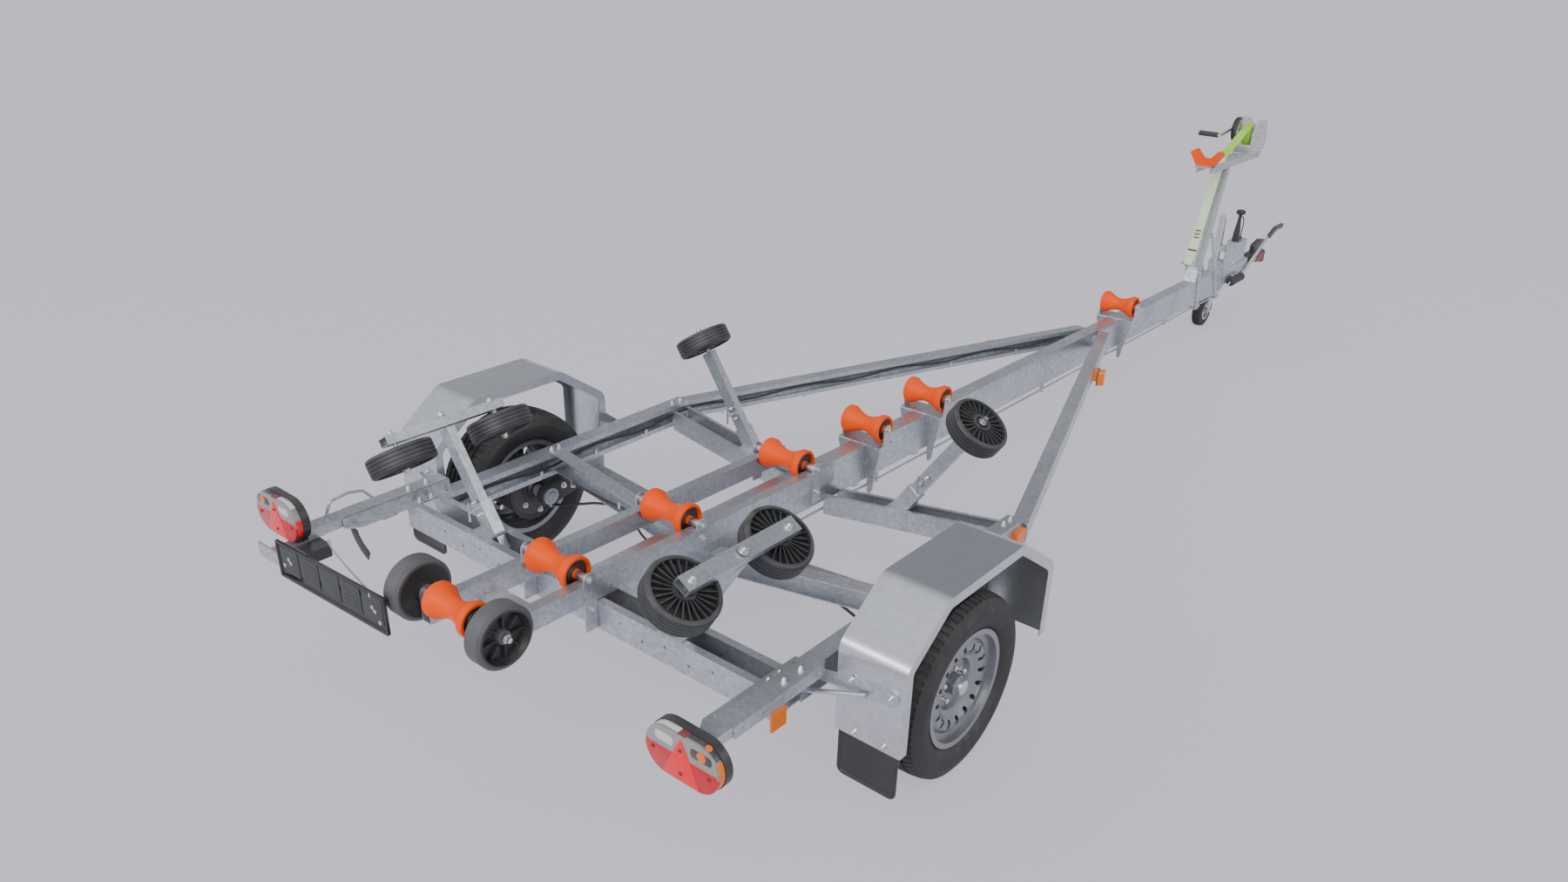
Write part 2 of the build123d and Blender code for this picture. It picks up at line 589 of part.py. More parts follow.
# Light arms, lamps and the blank plate holder
ARM_HOLE_R = 5.0
ARM_HOLE_STEP = 78.0
LENS_ROUND = 9.0
for side in SIDES:
    arm = beam((side * (RAIL_OUT + 10), -955, REAR_TOP + 16), (side * (RAIL_OUT + 10), -430, REAR_TOP + 16), hollow(58, 32, 2.5))
    add("light_arms", arm)
    inner = side * (RAIL_OUT - 65)
    outer = side * (RAIL_OUT - 25)
    flange = make_face(Polyline(
        (inner, -430), (outer, -430), (outer, -840), (outer - side * 16, -840), (inner, -800), close=True))
    angle = Pos(0, 0, REAR_TOP) * extrude(flange, 4)
    angle += block(outer, outer + side * 4, -840, -430, REAR_TOP, REAR_TOP + 30)
    web = block(side * (RAIL_OUT + 39), side * (RAIL_OUT + 42), -800, -440, REAR_TOP - 8, REAR_TOP + 32)
    web += block(side * (RAIL_OUT + 39), side * (RAIL_OUT + 42), -650, -616, 432, 520)
    for step in range(5):
        y = -770 + ARM_HOLE_STEP * step
        angle -= rod((inner + side * 18, y, REAR_TOP - 5), (inner + side * 18, y, REAR_TOP + 10), ARM_HOLE_R)
        web -= rod((side * (RAIL_OUT + 30), y, REAR_TOP + 12), (side * (RAIL_OUT + 50), y, REAR_TOP + 12), ARM_HOLE_R)
    add("light_arms", angle)
    add("light_arms", web)
    plate = block(side * (RAIL_OUT - 25), side * (RAIL_OUT + 125), -961, -955, REAR_TOP, 610)
    add("bracket_plates", plate)
    lamp_plane = Plane(origin=(side * (RAIL_OUT + 64), -961, 569), x_dir=(1, 0, 0), z_dir=(0, -1, 0))
    add("lamp_bases", extrude(lamp_plane * SlotOverall(240, 140), 24))
    lens_plane = Plane(origin=(side * (RAIL_OUT + 64), -985, 569), x_dir=(1, 0, 0), z_dir=(0, -1, 0))
    lens = extrude(lens_plane * SlotOverall(234, 134), 24)
    add("lamp_lenses", fillet(lens.faces().sort_by(Axis.Y)[0].edges(), LENS_ROUND))
    reflector = block(side * (RAIL_OUT + 42), side * (RAIL_OUT + 50), -662, -604, 428, 482)
    add("side_markers", reflector)
    marker = block(side * RAIL_OUT, side * (RAIL_OUT + 18), 672, 730, 415, 465)
    add("side_markers", marker)
    turn = math.atan(OBLIQUE_SLOPE)
    away = 28.5 + 9
    seat = (side * (OBLIQUE_ROOT - OBLIQUE_SLOPE * 2426 + away * math.cos(turn)), 2426 + away * math.sin(turn), 412)
    add("side_markers", Pos(*seat) * Rot(0, 0, side * math.degrees(turn)) * Box(18, 58, 50))

holder = Pos(-441, -1096, 534) * Rot(0, 0, math.degrees(0.043)) * Box(528, 10, 124)
add("plate_holder", holder)
HOLDER_TURN = 0.043
bracket = block(-RAIL_OUT - 25, -RAIL_OUT + 15, -1092, -900, REAR_TOP - 6, REAR_TOP)
bracket += block(-RAIL_OUT - 25, -672, -1098, -1092, 484, 530)
end_x = -441 - 240 * math.cos(HOLDER_TURN) - 7 * math.sin(HOLDER_TURN)
end_y = -1096 - 240 * math.sin(HOLDER_TURN) + 7 * math.cos(HOLDER_TURN)
bracket += Pos(end_x, end_y, 520) * Rot(0, 0, math.degrees(HOLDER_TURN)) * Box(44, 4, 72)
add("bracket_plates", bracket)
number_lamp = block(-RAIL_OUT - 8, -RAIL_OUT + 86, -1004, -920, 448, REAR_TOP - 6)
add("lamp_bases", fillet(number_lamp.edges().filter_by(Axis.Z), 10))

# Bent grab handle on the left arm
handle_x = -RAIL_OUT - 30
handle_foot = REAR_TOP + 32
handle_path = FilletPolyline(
    (handle_x, -866, handle_foot), (handle_x, -844, handle_foot + 46), (handle_x, -780, handle_foot + 54),
    (handle_x, -728, handle_foot + 44), (handle_x, -690, handle_foot), radius=18)
handle_end = Plane(origin=handle_path @ 0, z_dir=handle_path % 0)
handle = sweep(handle_end * Circle(5), path=handle_path)
add("light_arms", handle & block(-1000, -600, -900, -600, handle_foot, 700))

# Winch post, arm, bow snubber and winch
CLAMP_IN = BAR_HALF + 2
POST_FOOT = Vector(0, 4281, 430)
POST_TOP = Vector(0, 4466, 1084)
post_way = (POST_TOP - POST_FOOT).normalized()
post = beam(POST_FOOT, POST_TOP, hollow(2 * CLAMP_IN, 44, 3))
post = post & block(-60, 60, 4200, 4700, bar_top(POST_FOOT.Y - 30), 1200)
add("winch_post", post)
CLAMP_DEEP = 36.0
CLAMPS = [((4262, 4318, 530), (4350, 4392)), ((4372, 4402, 712), (4672, 4704))]
HOOK_X = CLAMP_IN + 7
HOOK_R = 5.0
HOOK_TIP = (4186.0, 560.0)
for (back, front, top_z), (low_back, low_front) in CLAMPS:
    bar_z = bar_top(low_back)
    low_z = bar_z - BAR_TALL - CLAMP_DEEP
    outline = [(back, top_z), (front, top_z), (low_front, low_z), (low_back, low_z)]
    beside = block(-100, 100, 4000, 5000, low_z, bar_z - 12)
    clamp = block(-CLAMP_IN - 5, CLAMP_IN + 5, low_back, low_front, low_z, low_z + 6)
    for side in SIDES:
        clamp += side_sheet(outline, side * CLAMP_IN, side * (CLAMP_IN + 5))
        clamp += side_sheet(outline, side * BAR_HALF, side * (CLAMP_IN + 5)) & beside
    if top_z < 600:
        hook_path = FilletPolyline(
            (-HOOK_X, 4302, 512), (-HOOK_X, *HOOK_TIP), (HOOK_X, *HOOK_TIP), (HOOK_X, 4302, 512), radius=14)
        clamp += sweep(Plane(origin=hook_path @ 0, z_dir=hook_path % 0) * Circle(HOOK_R), path=hook_path)
    add("post_clamps", clamp)

ARM_Z = (1088.0, 1130.0)
arm = block(-CLAMP_IN, CLAMP_IN, 4140, 4200, 1124, 1130) + block(-CLAMP_IN, CLAMP_IN, 4700, 4960, 1124, 1130)
for side in SIDES:
    arm += block(side * CLAMP_IN, side * (CLAMP_IN + 5), 4140, 4960, ARM_Z[0], ARM_Z[1])
add("winch_arm", arm)

pad = make_face(Polyline(
    (-90, 66), (-66, 84), (-22, 36), (22, 36), (66, 84), (90, 66), (48, 0), (-48, 0), close=True))
seat = block(-52, 52, 4128, 4206, 1118, 1124)
seat -= block(-CLAMP_IN - 5.02, CLAMP_IN + 5.02, 4139.98, 4300, 1100, 1130)
add("winch_arm", seat)
add("bow_snubber", extrude(Plane(origin=(0, 4198, 1130), x_dir=(1, 0, 0), z_dir=(0, -1, 0)) * pad, 66))

DRUM = (4800.0, 1232.0)
frame = None
for side in SIDES:
    cheek = [(4715, 1130), (4955, 1130), (4985, 1176), (4958, 1286), (4900, 1316), (4762, 1316), (4715, 1240)]
    cheek = side_sheet(cheek, side * 46, side * 50)
    cheek = fillet(cheek.edges().filter_by(Axis.X), 8)
    cheek -= rod((side * 40, 4920, 1235), (side * 60, 4920, 1235), 9)
    frame = cheek if frame is None else frame + cheek
frame += block(-46, 46, 4715, 4955, 1130, 1134) + rod((-46, *DRUM), (46, *DRUM), 20)
loop_path = FilletPolyline((-45.5, 4745, 1275), (-20, 4712, 1344), (20, 4712, 1344), (45.5, 4745, 1275), radius=12)
frame += sweep(Plane(origin=loop_path @ 0, z_dir=loop_path % 0) * Circle(4), path=loop_path)
add("winch_frame", frame)
drum_roll = pipe((-26, *DRUM), (26, *DRUM), 62, 20.05)
run = [(4790, 1294), (4406, 1142), (4390, 1100), (HOOK_TIP[0] + 2, HOOK_TIP[1] + HOOK_R + 1)]
strap = None
for start, end in zip(run, run[1:]):
    piece = beam((0, *start), (0, *end), Rectangle(50, 3))
    strap = piece if strap is None else strap + piece
add("winch_strap", drum_roll + strap)
cover = [(-72, 0), (-72, 60), (-66, 72), (-50, 72), (-50, 0)]
add("winch_plastics", spun(cover, (0, 4770, 1256)))
crank_hub = (-90.0, 4752.0, 1262.0)
crank = rod((-90, 4752, 1262), (-72, 4752, 1262), 12)
crank += rod((-86, 4752, 1262), (-86, 4560, 1240), 8)
crank += rod((-84, 4560, 1240), (-102, 4560, 1240), 8)
add("winch_frame", crank)
add("winch_plastics", rod((-102, 4560, 1240), (-215, 4560, 1240), 15))

add("wiring_loom", cable(loom_points, LOOM_R))
grommet_out = (LOOM_EXIT[0] - GROMMET, LOOM_EXIT[1], LOOM_EXIT[2])
add("coupling_rubber", rod(grommet_out, LOOM_EXIT, 8))

# Overrun coupling
HOUSING_FRONT = 5140.0
HOUSING_HALF = BAR_HALF + 11
HOUSING_ROUND = 10.0
SPRING_X = HOUSING_HALF + 26
nose_z = 388.0
housing = block(-HOUSING_HALF, HOUSING_HALF, BAR_FRONT, HOUSING_FRONT, 318, 428)
housing = fillet(housing.edges().filter_by(Axis.Y), HOUSING_ROUND)
for side in SIDES:
    housing += block(side * BAR_HALF, side * (BAR_HALF + 8), BAR_FRONT - 45, BAR_FRONT + 10, 300, 424)
TOWER_X = 38.0
TOWER_Y = (HOUSING_FRONT - 225, HOUSING_FRONT - 65)
TOWER_TOP = 560.0
tower = block(-TOWER_X, TOWER_X, *TOWER_Y, 427, TOWER_TOP)
tower = fillet(tower.edges().filter_by(Axis.Z), 8)
tower -= block(-TOWER_X + 4, TOWER_X - 4, TOWER_Y[0] + 4, TOWER_Y[1] + 10, 428, TOWER_TOP - 4)
housing += tower

PLUG_Y = HOUSING_FRONT - 185
PLUG_NECK = 148.0
plug = [
    (0, 0), (0, 20), (10, 23), (60, 19), (118, 12), (PLUG_NECK + 14, 9), (168, 20), (174, 28), (186, 29), (195, 22),
    (198, 0),
]
plug = spun(plug, (0, PLUG_Y, TOWER_TOP), (0, 0, 1))
plug += rod((0, PLUG_Y, TOWER_TOP + PLUG_NECK), (0, PLUG_Y + 12, TOWER_TOP + PLUG_NECK), 6)
add("plug", plug)
LEAD_R = 3.5
GLAND = 12.0
GLAND_Y = HOUSING_FRONT - 95
add("coupling_rubber", rod((0, GLAND_Y, TOWER_TOP), (0, GLAND_Y, TOWER_TOP + GLAND), 9))
LEAD_POINTS = [
    (0, GLAND_Y, TOWER_TOP + GLAND),
    (0, GLAND_Y, TOWER_TOP + 46),
    (0, GLAND_Y + 9, TOWER_TOP + 88),
    (0, GLAND_Y - 7, TOWER_TOP + 130),
    (0, GLAND_Y - 45, TOWER_TOP + PLUG_NECK),
    (0, PLUG_Y + 12, TOWER_TOP + PLUG_NECK),
]
add("plug_cable", cable(LEAD_POINTS, LEAD_R))

HEAD_BACK = HOUSING_FRONT + 130
FOLDS = 6
fold = (HEAD_BACK - HOUSING_FRONT) / FOLDS
gaiter = [(0, 20), (0, 38)]
for step in range(FOLDS):
    gaiter += [((step + 0.5) * fold, 37), ((step + 1) * fold, 29 if step < FOLDS - 1 else 35)]
gaiter += [(FOLDS * fold, 20)]
add("coupling_rubber", spun(gaiter, (0, HOUSING_FRONT, nose_z), (0, 1, 0)))
BALL_Y = 5490.0
CUP_R = 42.0
neck_ends = [
    Plane(origin=(0, HEAD_BACK, nose_z), z_dir=(0, 1, 0)) * RectangleRounded(62, 62, 28),
    Plane(origin=(0, BALL_Y - 60, nose_z - 4), z_dir=(0, 1, 0)) * RectangleRounded(74, 78, 24),
    Plane(origin=(0, BALL_Y, nose_z - 8), z_dir=(0, 1, 0)) * RectangleRounded(78, 70, 20),
]
head = loft(neck_ends)
head += rod((0, HOUSING_FRONT, nose_z), (0, HEAD_BACK, nose_z), 19.98)
cup = Pos(0, BALL_Y, 372) * Cylinder(CUP_R, 74)
cup = fillet(cup.edges().sort_by(Axis.Z)[-1], 14)
head = head + cup - Pos(0, BALL_Y, 285) * Cylinder(25.2, 190)
grip = side_sheet([(5330, 410), (5500, 410), (5540, 440), (5552, 470), (5440, 486), (5330, 466)], -15, 15)
grip = fillet(grip.edges().filter_by(Axis.X), 9)
add("coupling_head", head + grip)

BRAKE_PIVOT = (5040.0, 330.0)
lever_x = (HOUSING_HALF + 5, HOUSING_HALF + 13)
tip = (5452.0, 509.0)
plane = [(5030, 312), (5056, 316), (5464, 500), (5440, 520), (5022, 338)]
lever = side_sheet(plane, *lever_x)
lever -= rod((HOUSING_HALF - 5, *BRAKE_PIVOT), (HOUSING_HALF + 25, *BRAKE_PIVOT), PIN_R + 0.06)
add("handbrake_lever", lever)
add("brake_linkage", rod((HOUSING_HALF, *BRAKE_PIVOT), (HOUSING_HALF + 21, *BRAKE_PIVOT), PIN_R))
add("handbrake_grip", side_sheet([(5466, 499), (5580, 536), (5700, 534), (5700, 560), (5560, 560), (5444, 520)], HOUSING_HALF - 1, HOUSING_HALF + 19))
spring = [(0, 0), (0, 20), (7, 26), (193, 26), (200, 20), (200, 0)]
add("coupling_rubber", spun(spring, (SPRING_X, 4800, 335), (0, 1, 0)))
linkage = rod((26, 230, 290), (26, 4700, 262), 5) + rod((26, 4698, 262), (HOUSING_HALF + 5, 4730, 262), 5)
linkage += rod((HOUSING_HALF + 5, 4728, 262), (SPRING_X, 4802, 335), 5)
add("brake_linkage", linkage & block(0, 100, 230, 4800, 200, 400))
for y in (1000, 2400, 3900):
    z = 290 - 28 * (y - 230) / 4470
    hanger = block(18, 34, y - 4, y + 4, z - 12, bar_top(y + 6) - BAR_TALL - 0.1)
    hanger -= rod((26, y - 20, z), (26, y + 20, z), 5.05)
    add("bracket_plates", hanger)

# Jockey wheel
JX = -HOUSING_HALF - 50
JOCKEY_BACK = 210.0
JY = HOUSING_FRONT - JOCKEY_BACK
TRAIL = 60.0
JOCKEY_R = 105.0
clamp = block(-HOUSING_HALF, JX - 30, JY - 30, JY + 30, 372, 428) - rod((JX, JY, 300), (JX, JY, 500), 24.1)
upper_clamp = block(-TOWER_X, JX - 28, JY - 15, JY + 30, 486, 522) - rod((JX, JY, 300), (JX, JY, 600), 24.1)
clamp += upper_clamp
add("overrun_housing", housing + clamp)
tube = rod((JX, JY, 300), (JX, JY, 690), 24) + rod((JX, JY, 263), (JX, JY, 300), 18)
tube += rod((JX, JY, 230), (JX, JY, 263), 10)
crank = rod((JX, JY, 690), (JX, JY, 712), 12) + rod((JX, JY, 704), (JX - 90, JY, 704), 6)
crank += rod((JX - 90, JY, 698), (JX - 90, JY, 770), 6)
add("jockey_tube", tube + crank)
wheel_y = JY - TRAIL
crown = block(JX - 44, JX + 44, wheel_y - 34, JY + 22, 228, 236)
crown += rod((JX, JY, 236), (JX, JY, 262), 20)
crown -= rod((JX, JY, 200), (JX, JY, 300), 10.06)
for side in SIDES:
    leg = [(wheel_y - 20, 92), (wheel_y + 20, 92), (wheel_y + 40, 236), (wheel_y - 34, 236)]
    crown += side_sheet(leg, JX + side * 40, JX + side * 44)
crown += rod((JX - 50, wheel_y, JOCKEY_R), (JX + 50, wheel_y, JOCKEY_R), PIN_R)
add("jockey_fork", crown)
add("jockey_tyre", spun([(-30, 62), (-30, 95), (-20, 105), (20, 105), (30, 95), (30, 62)], (JX, wheel_y, JOCKEY_R)))
rim = [(-28, 61.8), (-28, 50), (-12, 46), (-12, 18), (-33, 16), (-33, 8.06), (33, 8.06), (33, 16), (12, 18), (12, 46), (28, 50), (28, 61.8)]
add("jockey_rim", spun(rim, (JX, wheel_y, JOCKEY_R)))

total = 0
boxes = [solid.bounding_box() for solids in parts.values() for solid in solids]
MID_Y = (min(b.min.Y for b in boxes) + max(b.max.Y for b in boxes)) / 2
print("middle", MID_Y)
for name, solids in parts.items():
    moved = [Pos(0, -MID_Y, 0) * solid for solid in solids]
    pieces = []
    for solid in moved:
        pieces.extend(solid.solids())
    shape = pieces[0] if len(pieces) == 1 else Compound(children=pieces)
    export_step(shape, "parts/%s.step" % name)
    total += 1
print("nodes", total)
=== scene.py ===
import math

import bpy
from mathutils import Matrix, Vector


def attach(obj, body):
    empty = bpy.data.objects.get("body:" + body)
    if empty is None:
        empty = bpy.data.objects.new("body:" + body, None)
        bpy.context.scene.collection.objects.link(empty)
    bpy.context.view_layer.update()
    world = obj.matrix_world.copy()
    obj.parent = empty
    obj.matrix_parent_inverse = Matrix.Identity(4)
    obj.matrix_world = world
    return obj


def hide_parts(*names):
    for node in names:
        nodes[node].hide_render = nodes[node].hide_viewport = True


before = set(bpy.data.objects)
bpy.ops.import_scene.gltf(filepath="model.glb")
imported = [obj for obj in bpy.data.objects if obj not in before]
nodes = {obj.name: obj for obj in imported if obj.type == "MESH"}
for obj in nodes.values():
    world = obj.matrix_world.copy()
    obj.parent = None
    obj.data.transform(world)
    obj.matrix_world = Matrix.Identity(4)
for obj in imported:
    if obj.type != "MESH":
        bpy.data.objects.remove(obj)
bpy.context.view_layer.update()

# Lengths below are millimetres from the ground under the axle, as the trailer is set out.
MM = 0.001
AXLE_Y = -2.293828
SIDES = (-1, 1)
SIDE_NAMES = {-1: "left", 1: "right"}

WHEEL_X = 993.0
TYRE_R = 298.0
REAR_LEAN = math.radians(33.0)
FRONT_LEAN = math.radians(35.0)
ROCKER_MID = (642.0, -527.0, 815.0)
ROCKER_WHEEL_Y = 189.0
ROCKER_DROP = 66.0
FRONT_HULL_WHEEL = (632.0, 685.0, 790.0)
KEEL_ROLLERS = ((3266, 515), (1384, 539), (947, 540), (449, 558), (-145, 568), (-620, 576))
REAR_ROLLER = (-974, 582)
DRUM = (4800.0, 1232.0)
X_AXIS = (1, 0, 0)
Y_AXIS = (0, 1, 0)
Z_AXIS = (0, 0, 1)
REARWARD = (0, -1, 0)


def spot(x, y, z):
    """A point of the set-out, in metres of the shared frame."""
    return Vector((x * MM, y * MM + AXLE_Y, z * MM))


def bar_top(y):
    """Height of the drawbar's top, which falls a little towards the front."""
    return 483 - 0.011 * y


def lean_axis(side, lean):
    return Vector((side * math.sin(lean), 0, math.cos(lean)))


def axes_at(origin, x_way, y_way, z_way):
    """The placement at an origin whose own axes lie along three directions."""
    turn = Matrix((x_way, y_way, z_way)).transposed().to_4x4()
    turn.translation = origin
    return turn


# Camera, at the photograph's place and angle
CAMERA_SPOT = (2.366, -4.7774, 2.3037)
CAMERA_TURN = 0.661045
CAMERA_DIP = 0.479311
CAMERA_ROLL = 0.037567
CAMERA_LENS = 26.19
CAMERA_SENSOR = 36.0
CAMERA_SHIFT = (-0.01215, 0.0445)
CAMERA_FAR = 200


def set_camera():
    look = Vector((
        -math.sin(CAMERA_TURN) * math.cos(CAMERA_DIP),
        math.cos(CAMERA_TURN) * math.cos(CAMERA_DIP),
        -math.sin(CAMERA_DIP),
    ))
    level = Vector((math.cos(CAMERA_TURN), math.sin(CAMERA_TURN), 0))
    upright = level.cross(look)
    right = level * math.cos(CAMERA_ROLL) + upright * math.sin(CAMERA_ROLL)
    up = upright * math.cos(CAMERA_ROLL) - level * math.sin(CAMERA_ROLL)
    bpy.ops.object.camera_add(location=CAMERA_SPOT)
    camera = bpy.context.object
    camera.matrix_world = axes_at(CAMERA_SPOT, right, up, -look)
    camera.data.sensor_width = CAMERA_SENSOR
    camera.data.lens = CAMERA_LENS
    camera.data.shift_x, camera.data.shift_y = CAMERA_SHIFT
    camera.data.clip_end = CAMERA_FAR
    bpy.context.scene.camera = camera


set_camera()


# Node groups shared by several finishes
def start_group(name, inputs, outputs):
    group = bpy.data.node_groups.new(name, "ShaderNodeTree")
    for label, value in inputs:
        socket = group.interface.new_socket(name=label, in_out="INPUT", socket_type="NodeSocketFloat")
        socket.default_value = value
    for label in outputs:
        group.interface.new_socket(name=label, in_out="OUTPUT", socket_type="NodeSocketFloat")
    enter = group.nodes.new("NodeGroupInput")
    leave = group.nodes.new("NodeGroupOutput")
    place = group.nodes.new("ShaderNodeTexCoord").outputs["Object"]
    return group, enter, leave, place


def feed(tree, socket, value):
    """Set a socket to a constant, or link another socket to it."""
    if isinstance(value, (int, float, tuple)):
        socket.default_value = value
    else:
        tree.links.new(value, socket)


def add_maths(tree, operation, first, second, third=None):
    node = tree.nodes.new("ShaderNodeMath")
    node.operation = operation
    for socket, value in zip(node.inputs, (first, second, third)):
        if value is not None:
            feed(tree, socket, value)
    return node.outputs[0]


def weigh(tree, *pairs):
    """Add values up, each times its own weight."""
    total = 0.0
    for value, weight in pairs:
        total = add_maths(tree, "MULTIPLY_ADD", value, weight, total)
    return total


def hold(tree, value, low, high):
    """Keep a value between two limits."""
    return add_maths(tree, "MINIMUM", add_maths(tree, "MAXIMUM", value, low), high)


def add_noise(tree, place, scale, detail=3.0, roughness=0.55):
    node = tree.nodes.new("ShaderNodeTexNoise")
    node.inputs["Detail"].default_value = detail
    node.inputs["Roughness"].default_value = roughness
    tree.links.new(place, node.inputs["Vector"])
    feed(tree, node.inputs["Scale"], scale)
    return node.outputs["Fac"]


def spangle_group():
    """Zinc crystals with their own tone, broad cloudy patches and fine grain."""
    group, enter, leave, place = start_group("zinc spangle", [("Crystals per metre", 90.0)], ["Tone", "Height"])
    cells = group.nodes.new("ShaderNodeTexVoronoi")
    group.links.new(place, cells.inputs["Vector"])
    group.links.new(enter.outputs[0], cells.inputs["Scale"])
    split = group.nodes.new("ShaderNodeSeparateColor")
    group.links.new(cells.outputs["Color"], split.inputs[0])
    clouds = add_noise(group, place, 5.0, 4.0)
    grain = add_noise(group, place, 420.0, 2.0)
    tone = weigh(group, (split.outputs[0], 0.36), (clouds, 0.7), (grain, 0.16))
    group.links.new(add_maths(group, "SUBTRACT", tone, 0.12), leave.inputs["Tone"])
    height = add_maths(group, "MULTIPLY_ADD", split.outputs[1], 0.5, grain)
    group.links.new(height, leave.inputs["Height"])
    return group


def grain_group():
    """The fine grain and faint patches of a moulded surface."""
    group, enter, leave, place = start_group("moulded grain", [("Grains per metre", 900.0)], ["Tone", "Height"])
    fine = add_noise(group, place, enter.outputs[0], 2.0)
    patches = add_noise(group, place, 9.0, 4.0)
    group.links.new(weigh(group, (fine, 0.35), (patches, 0.65)), leave.inputs["Tone"])
    group.links.new(fine, leave.inputs["Height"])
    return group


def dust_group():
    """Dry road dust that settles in speckles, most on faces that look up."""
    group, enter, leave, place = start_group("road dust", [("Amount", 0.3)], ["Mask"])
    geometry = group.nodes.new("ShaderNodeNewGeometry")
    split = group.nodes.new("ShaderNodeSeparateXYZ")
    group.links.new(geometry.outputs["Normal"], split.inputs[0])
    upward = add_maths(group, "MAXIMUM", split.outputs["Z"], 0.15)
    speckle = add_noise(group, place, 26.0, 6.0, 0.7)
    speckle = add_maths(group, "MULTIPLY_ADD", speckle, 2.4, -0.75)
    mask = add_maths(group, "MULTIPLY", upward, speckle)
    mask = add_maths(group, "MULTIPLY", mask, enter.outputs[0])
    group.links.new(hold(group, mask, 0.0, 1.0), leave.inputs["Mask"])
    return group


def rub_group():
    """Where corners are rubbed lighter."""
    group, enter, leave, place = start_group("rubbed edges", [("Amount", 0.5)], ["Mask"])
    geometry = group.nodes.new("ShaderNodeNewGeometry")
    edge = add_maths(group, "MULTIPLY_ADD", geometry.outputs["Pointiness"], 9.0, -4.75)
    broken = add_noise(group, place, 60.0, 4.0, 0.7)
    edge = add_maths(group, "MULTIPLY", edge, broken)
    edge = add_maths(group, "MULTIPLY", edge, enter.outputs[0])
    group.links.new(hold(group, edge, 0.0, 1.0), leave.inputs["Mask"])
    return group


SPANGLE = spangle_group()
GRAIN = grain_group()
DUST = dust_group()
RUB = rub_group()

# Finishes
STEEL_DUST = (0.42, 0.41, 0.39)
RUBBER_DUST = (0.2, 0.19, 0.175)
LENS_DUST = (0.4, 0.36, 0.34)


def new_finish(name, roughness, metallic=0.0, coat=0.0, specular=0.5):
    finish = bpy.data.materials.new(name)
    finish.use_nodes = True
    shader = finish.node_tree.nodes["Principled BSDF"]
    shader.inputs["Roughness"].default_value = roughness
    shader.inputs["Metallic"].default_value = metallic
    shader.inputs["Coat Weight"].default_value = coat
    shader.inputs["Specular IOR Level"].default_value = specular
    return finish, finish.node_tree, shader


def use_group(tree, group, value):
    node = tree.nodes.new("ShaderNodeGroup")
    node.node_tree = group
    node.inputs[0].default_value = value
    return node.outputs


def blend_colours(tree, share, first, second):
    node = tree.nodes.new("ShaderNodeMix")
    node.data_type = "RGBA"
    tree.links.new(share, node.inputs["Factor"])
    for socket, value in ((node.inputs[6], first), (node.inputs[7], second)):
        feed(tree, socket, (*value, 1.0) if isinstance(value, tuple) else value)
    return node.outputs[2]


def spread(tree, value, low, high):
    node = tree.nodes.new("ShaderNodeMapRange")
    node.inputs["To Min"].default_value = low
    node.inputs["To Max"].default_value = high
    tree.links.new(value, node.inputs["Value"])
    return node.outputs[0]


def wire_finish(tree, shader, colour, tone, rough, height, strength, distance=0.001):
    """Lead a finish's colour, roughness and bump into its shader."""
    tree.links.new(colour, shader.inputs["Base Color"])
    tree.links.new(spread(tree, tone, *rough), shader.inputs["Roughness"])
    bump = tree.nodes.new("ShaderNodeBump")
    bump.inputs["Strength"].default_value = strength
    bump.inputs["Distance"].default_value = distance
    tree.links.new(height, bump.inputs["Height"])
    tree.links.new(bump.outputs["Normal"], shader.inputs["Normal"])


def zinc_finish(name, dark, light, rough, crystals, metallic=0.75, dust=0.25):
    """Galvanised or plated steel: crystals, cloudy patches and a little road dust."""
    finish, tree, shader = new_finish(name, 0.5, metallic)
    spangle = use_group(tree, SPANGLE, crystals)
    settled = use_group(tree, DUST, dust)
    colour = blend_colours(tree, spangle["Tone"], dark, light)
    colour = blend_colours(tree, settled["Mask"], colour, STEEL_DUST)
    wire_finish(tree, shader, colour, spangle["Tone"], rough[::-1], spangle["Height"], 0.12)
    return finish


def moulded_finish(
        name, dark, light, rough, grains=900.0, dust=0.3, rub=0.4, dusty=RUBBER_DUST, bump=0.15, gloss=0.5):
    """Rubber or plastic: moulded grain, rubbed corners and road dust."""
    finish, tree, shader = new_finish(name, 0.5, specular=gloss)
    grain = use_group(tree, GRAIN, grains)
    settled = use_group(tree, DUST, dust)
    rubbed = use_group(tree, RUB, rub)
    colour = blend_colours(tree, grain["Tone"], dark, light)
    colour = blend_colours(tree, rubbed["Mask"], colour, tuple(min(1.0, c * 1.7 + 0.03) for c in light))
    colour = blend_colours(tree, settled["Mask"], colour, dusty)
    wire_finish(tree, shader, colour, grain["Tone"], rough, grain["Height"], bump, 0.0006)
    return finish


def lens_finish(name, dark, light, prisms=150.0):
    """A moulded lamp lens: clear gloss over a field of small prisms."""
    finish, tree, shader = new_finish(name, 0.3, coat=0.25, specular=0.3)
    shader.inputs["Coat Roughness"].default_value = 0.05
    cells = tree.nodes.new("ShaderNodeTexVoronoi")
    cells.distance = "CHEBYCHEV"
    cells.inputs["Scale"].default_value = prisms
    cells.inputs["Randomness"].default_value = 0.0
    tree.links.new(tree.nodes.new("ShaderNodeTexCoord").outputs["Object"], cells.inputs["Vector"])
    prism = cells.outputs["Distance"]
    settled = use_group(tree, DUST, 0.1)
    colour = blend_colours(tree, prism, dark, light)
    colour = blend_colours(tree, settled["Mask"], colour, LENS_DUST)
    wire_finish(tree, shader, colour, prism, (0.18, 0.32), prism, 0.35)
    return finish


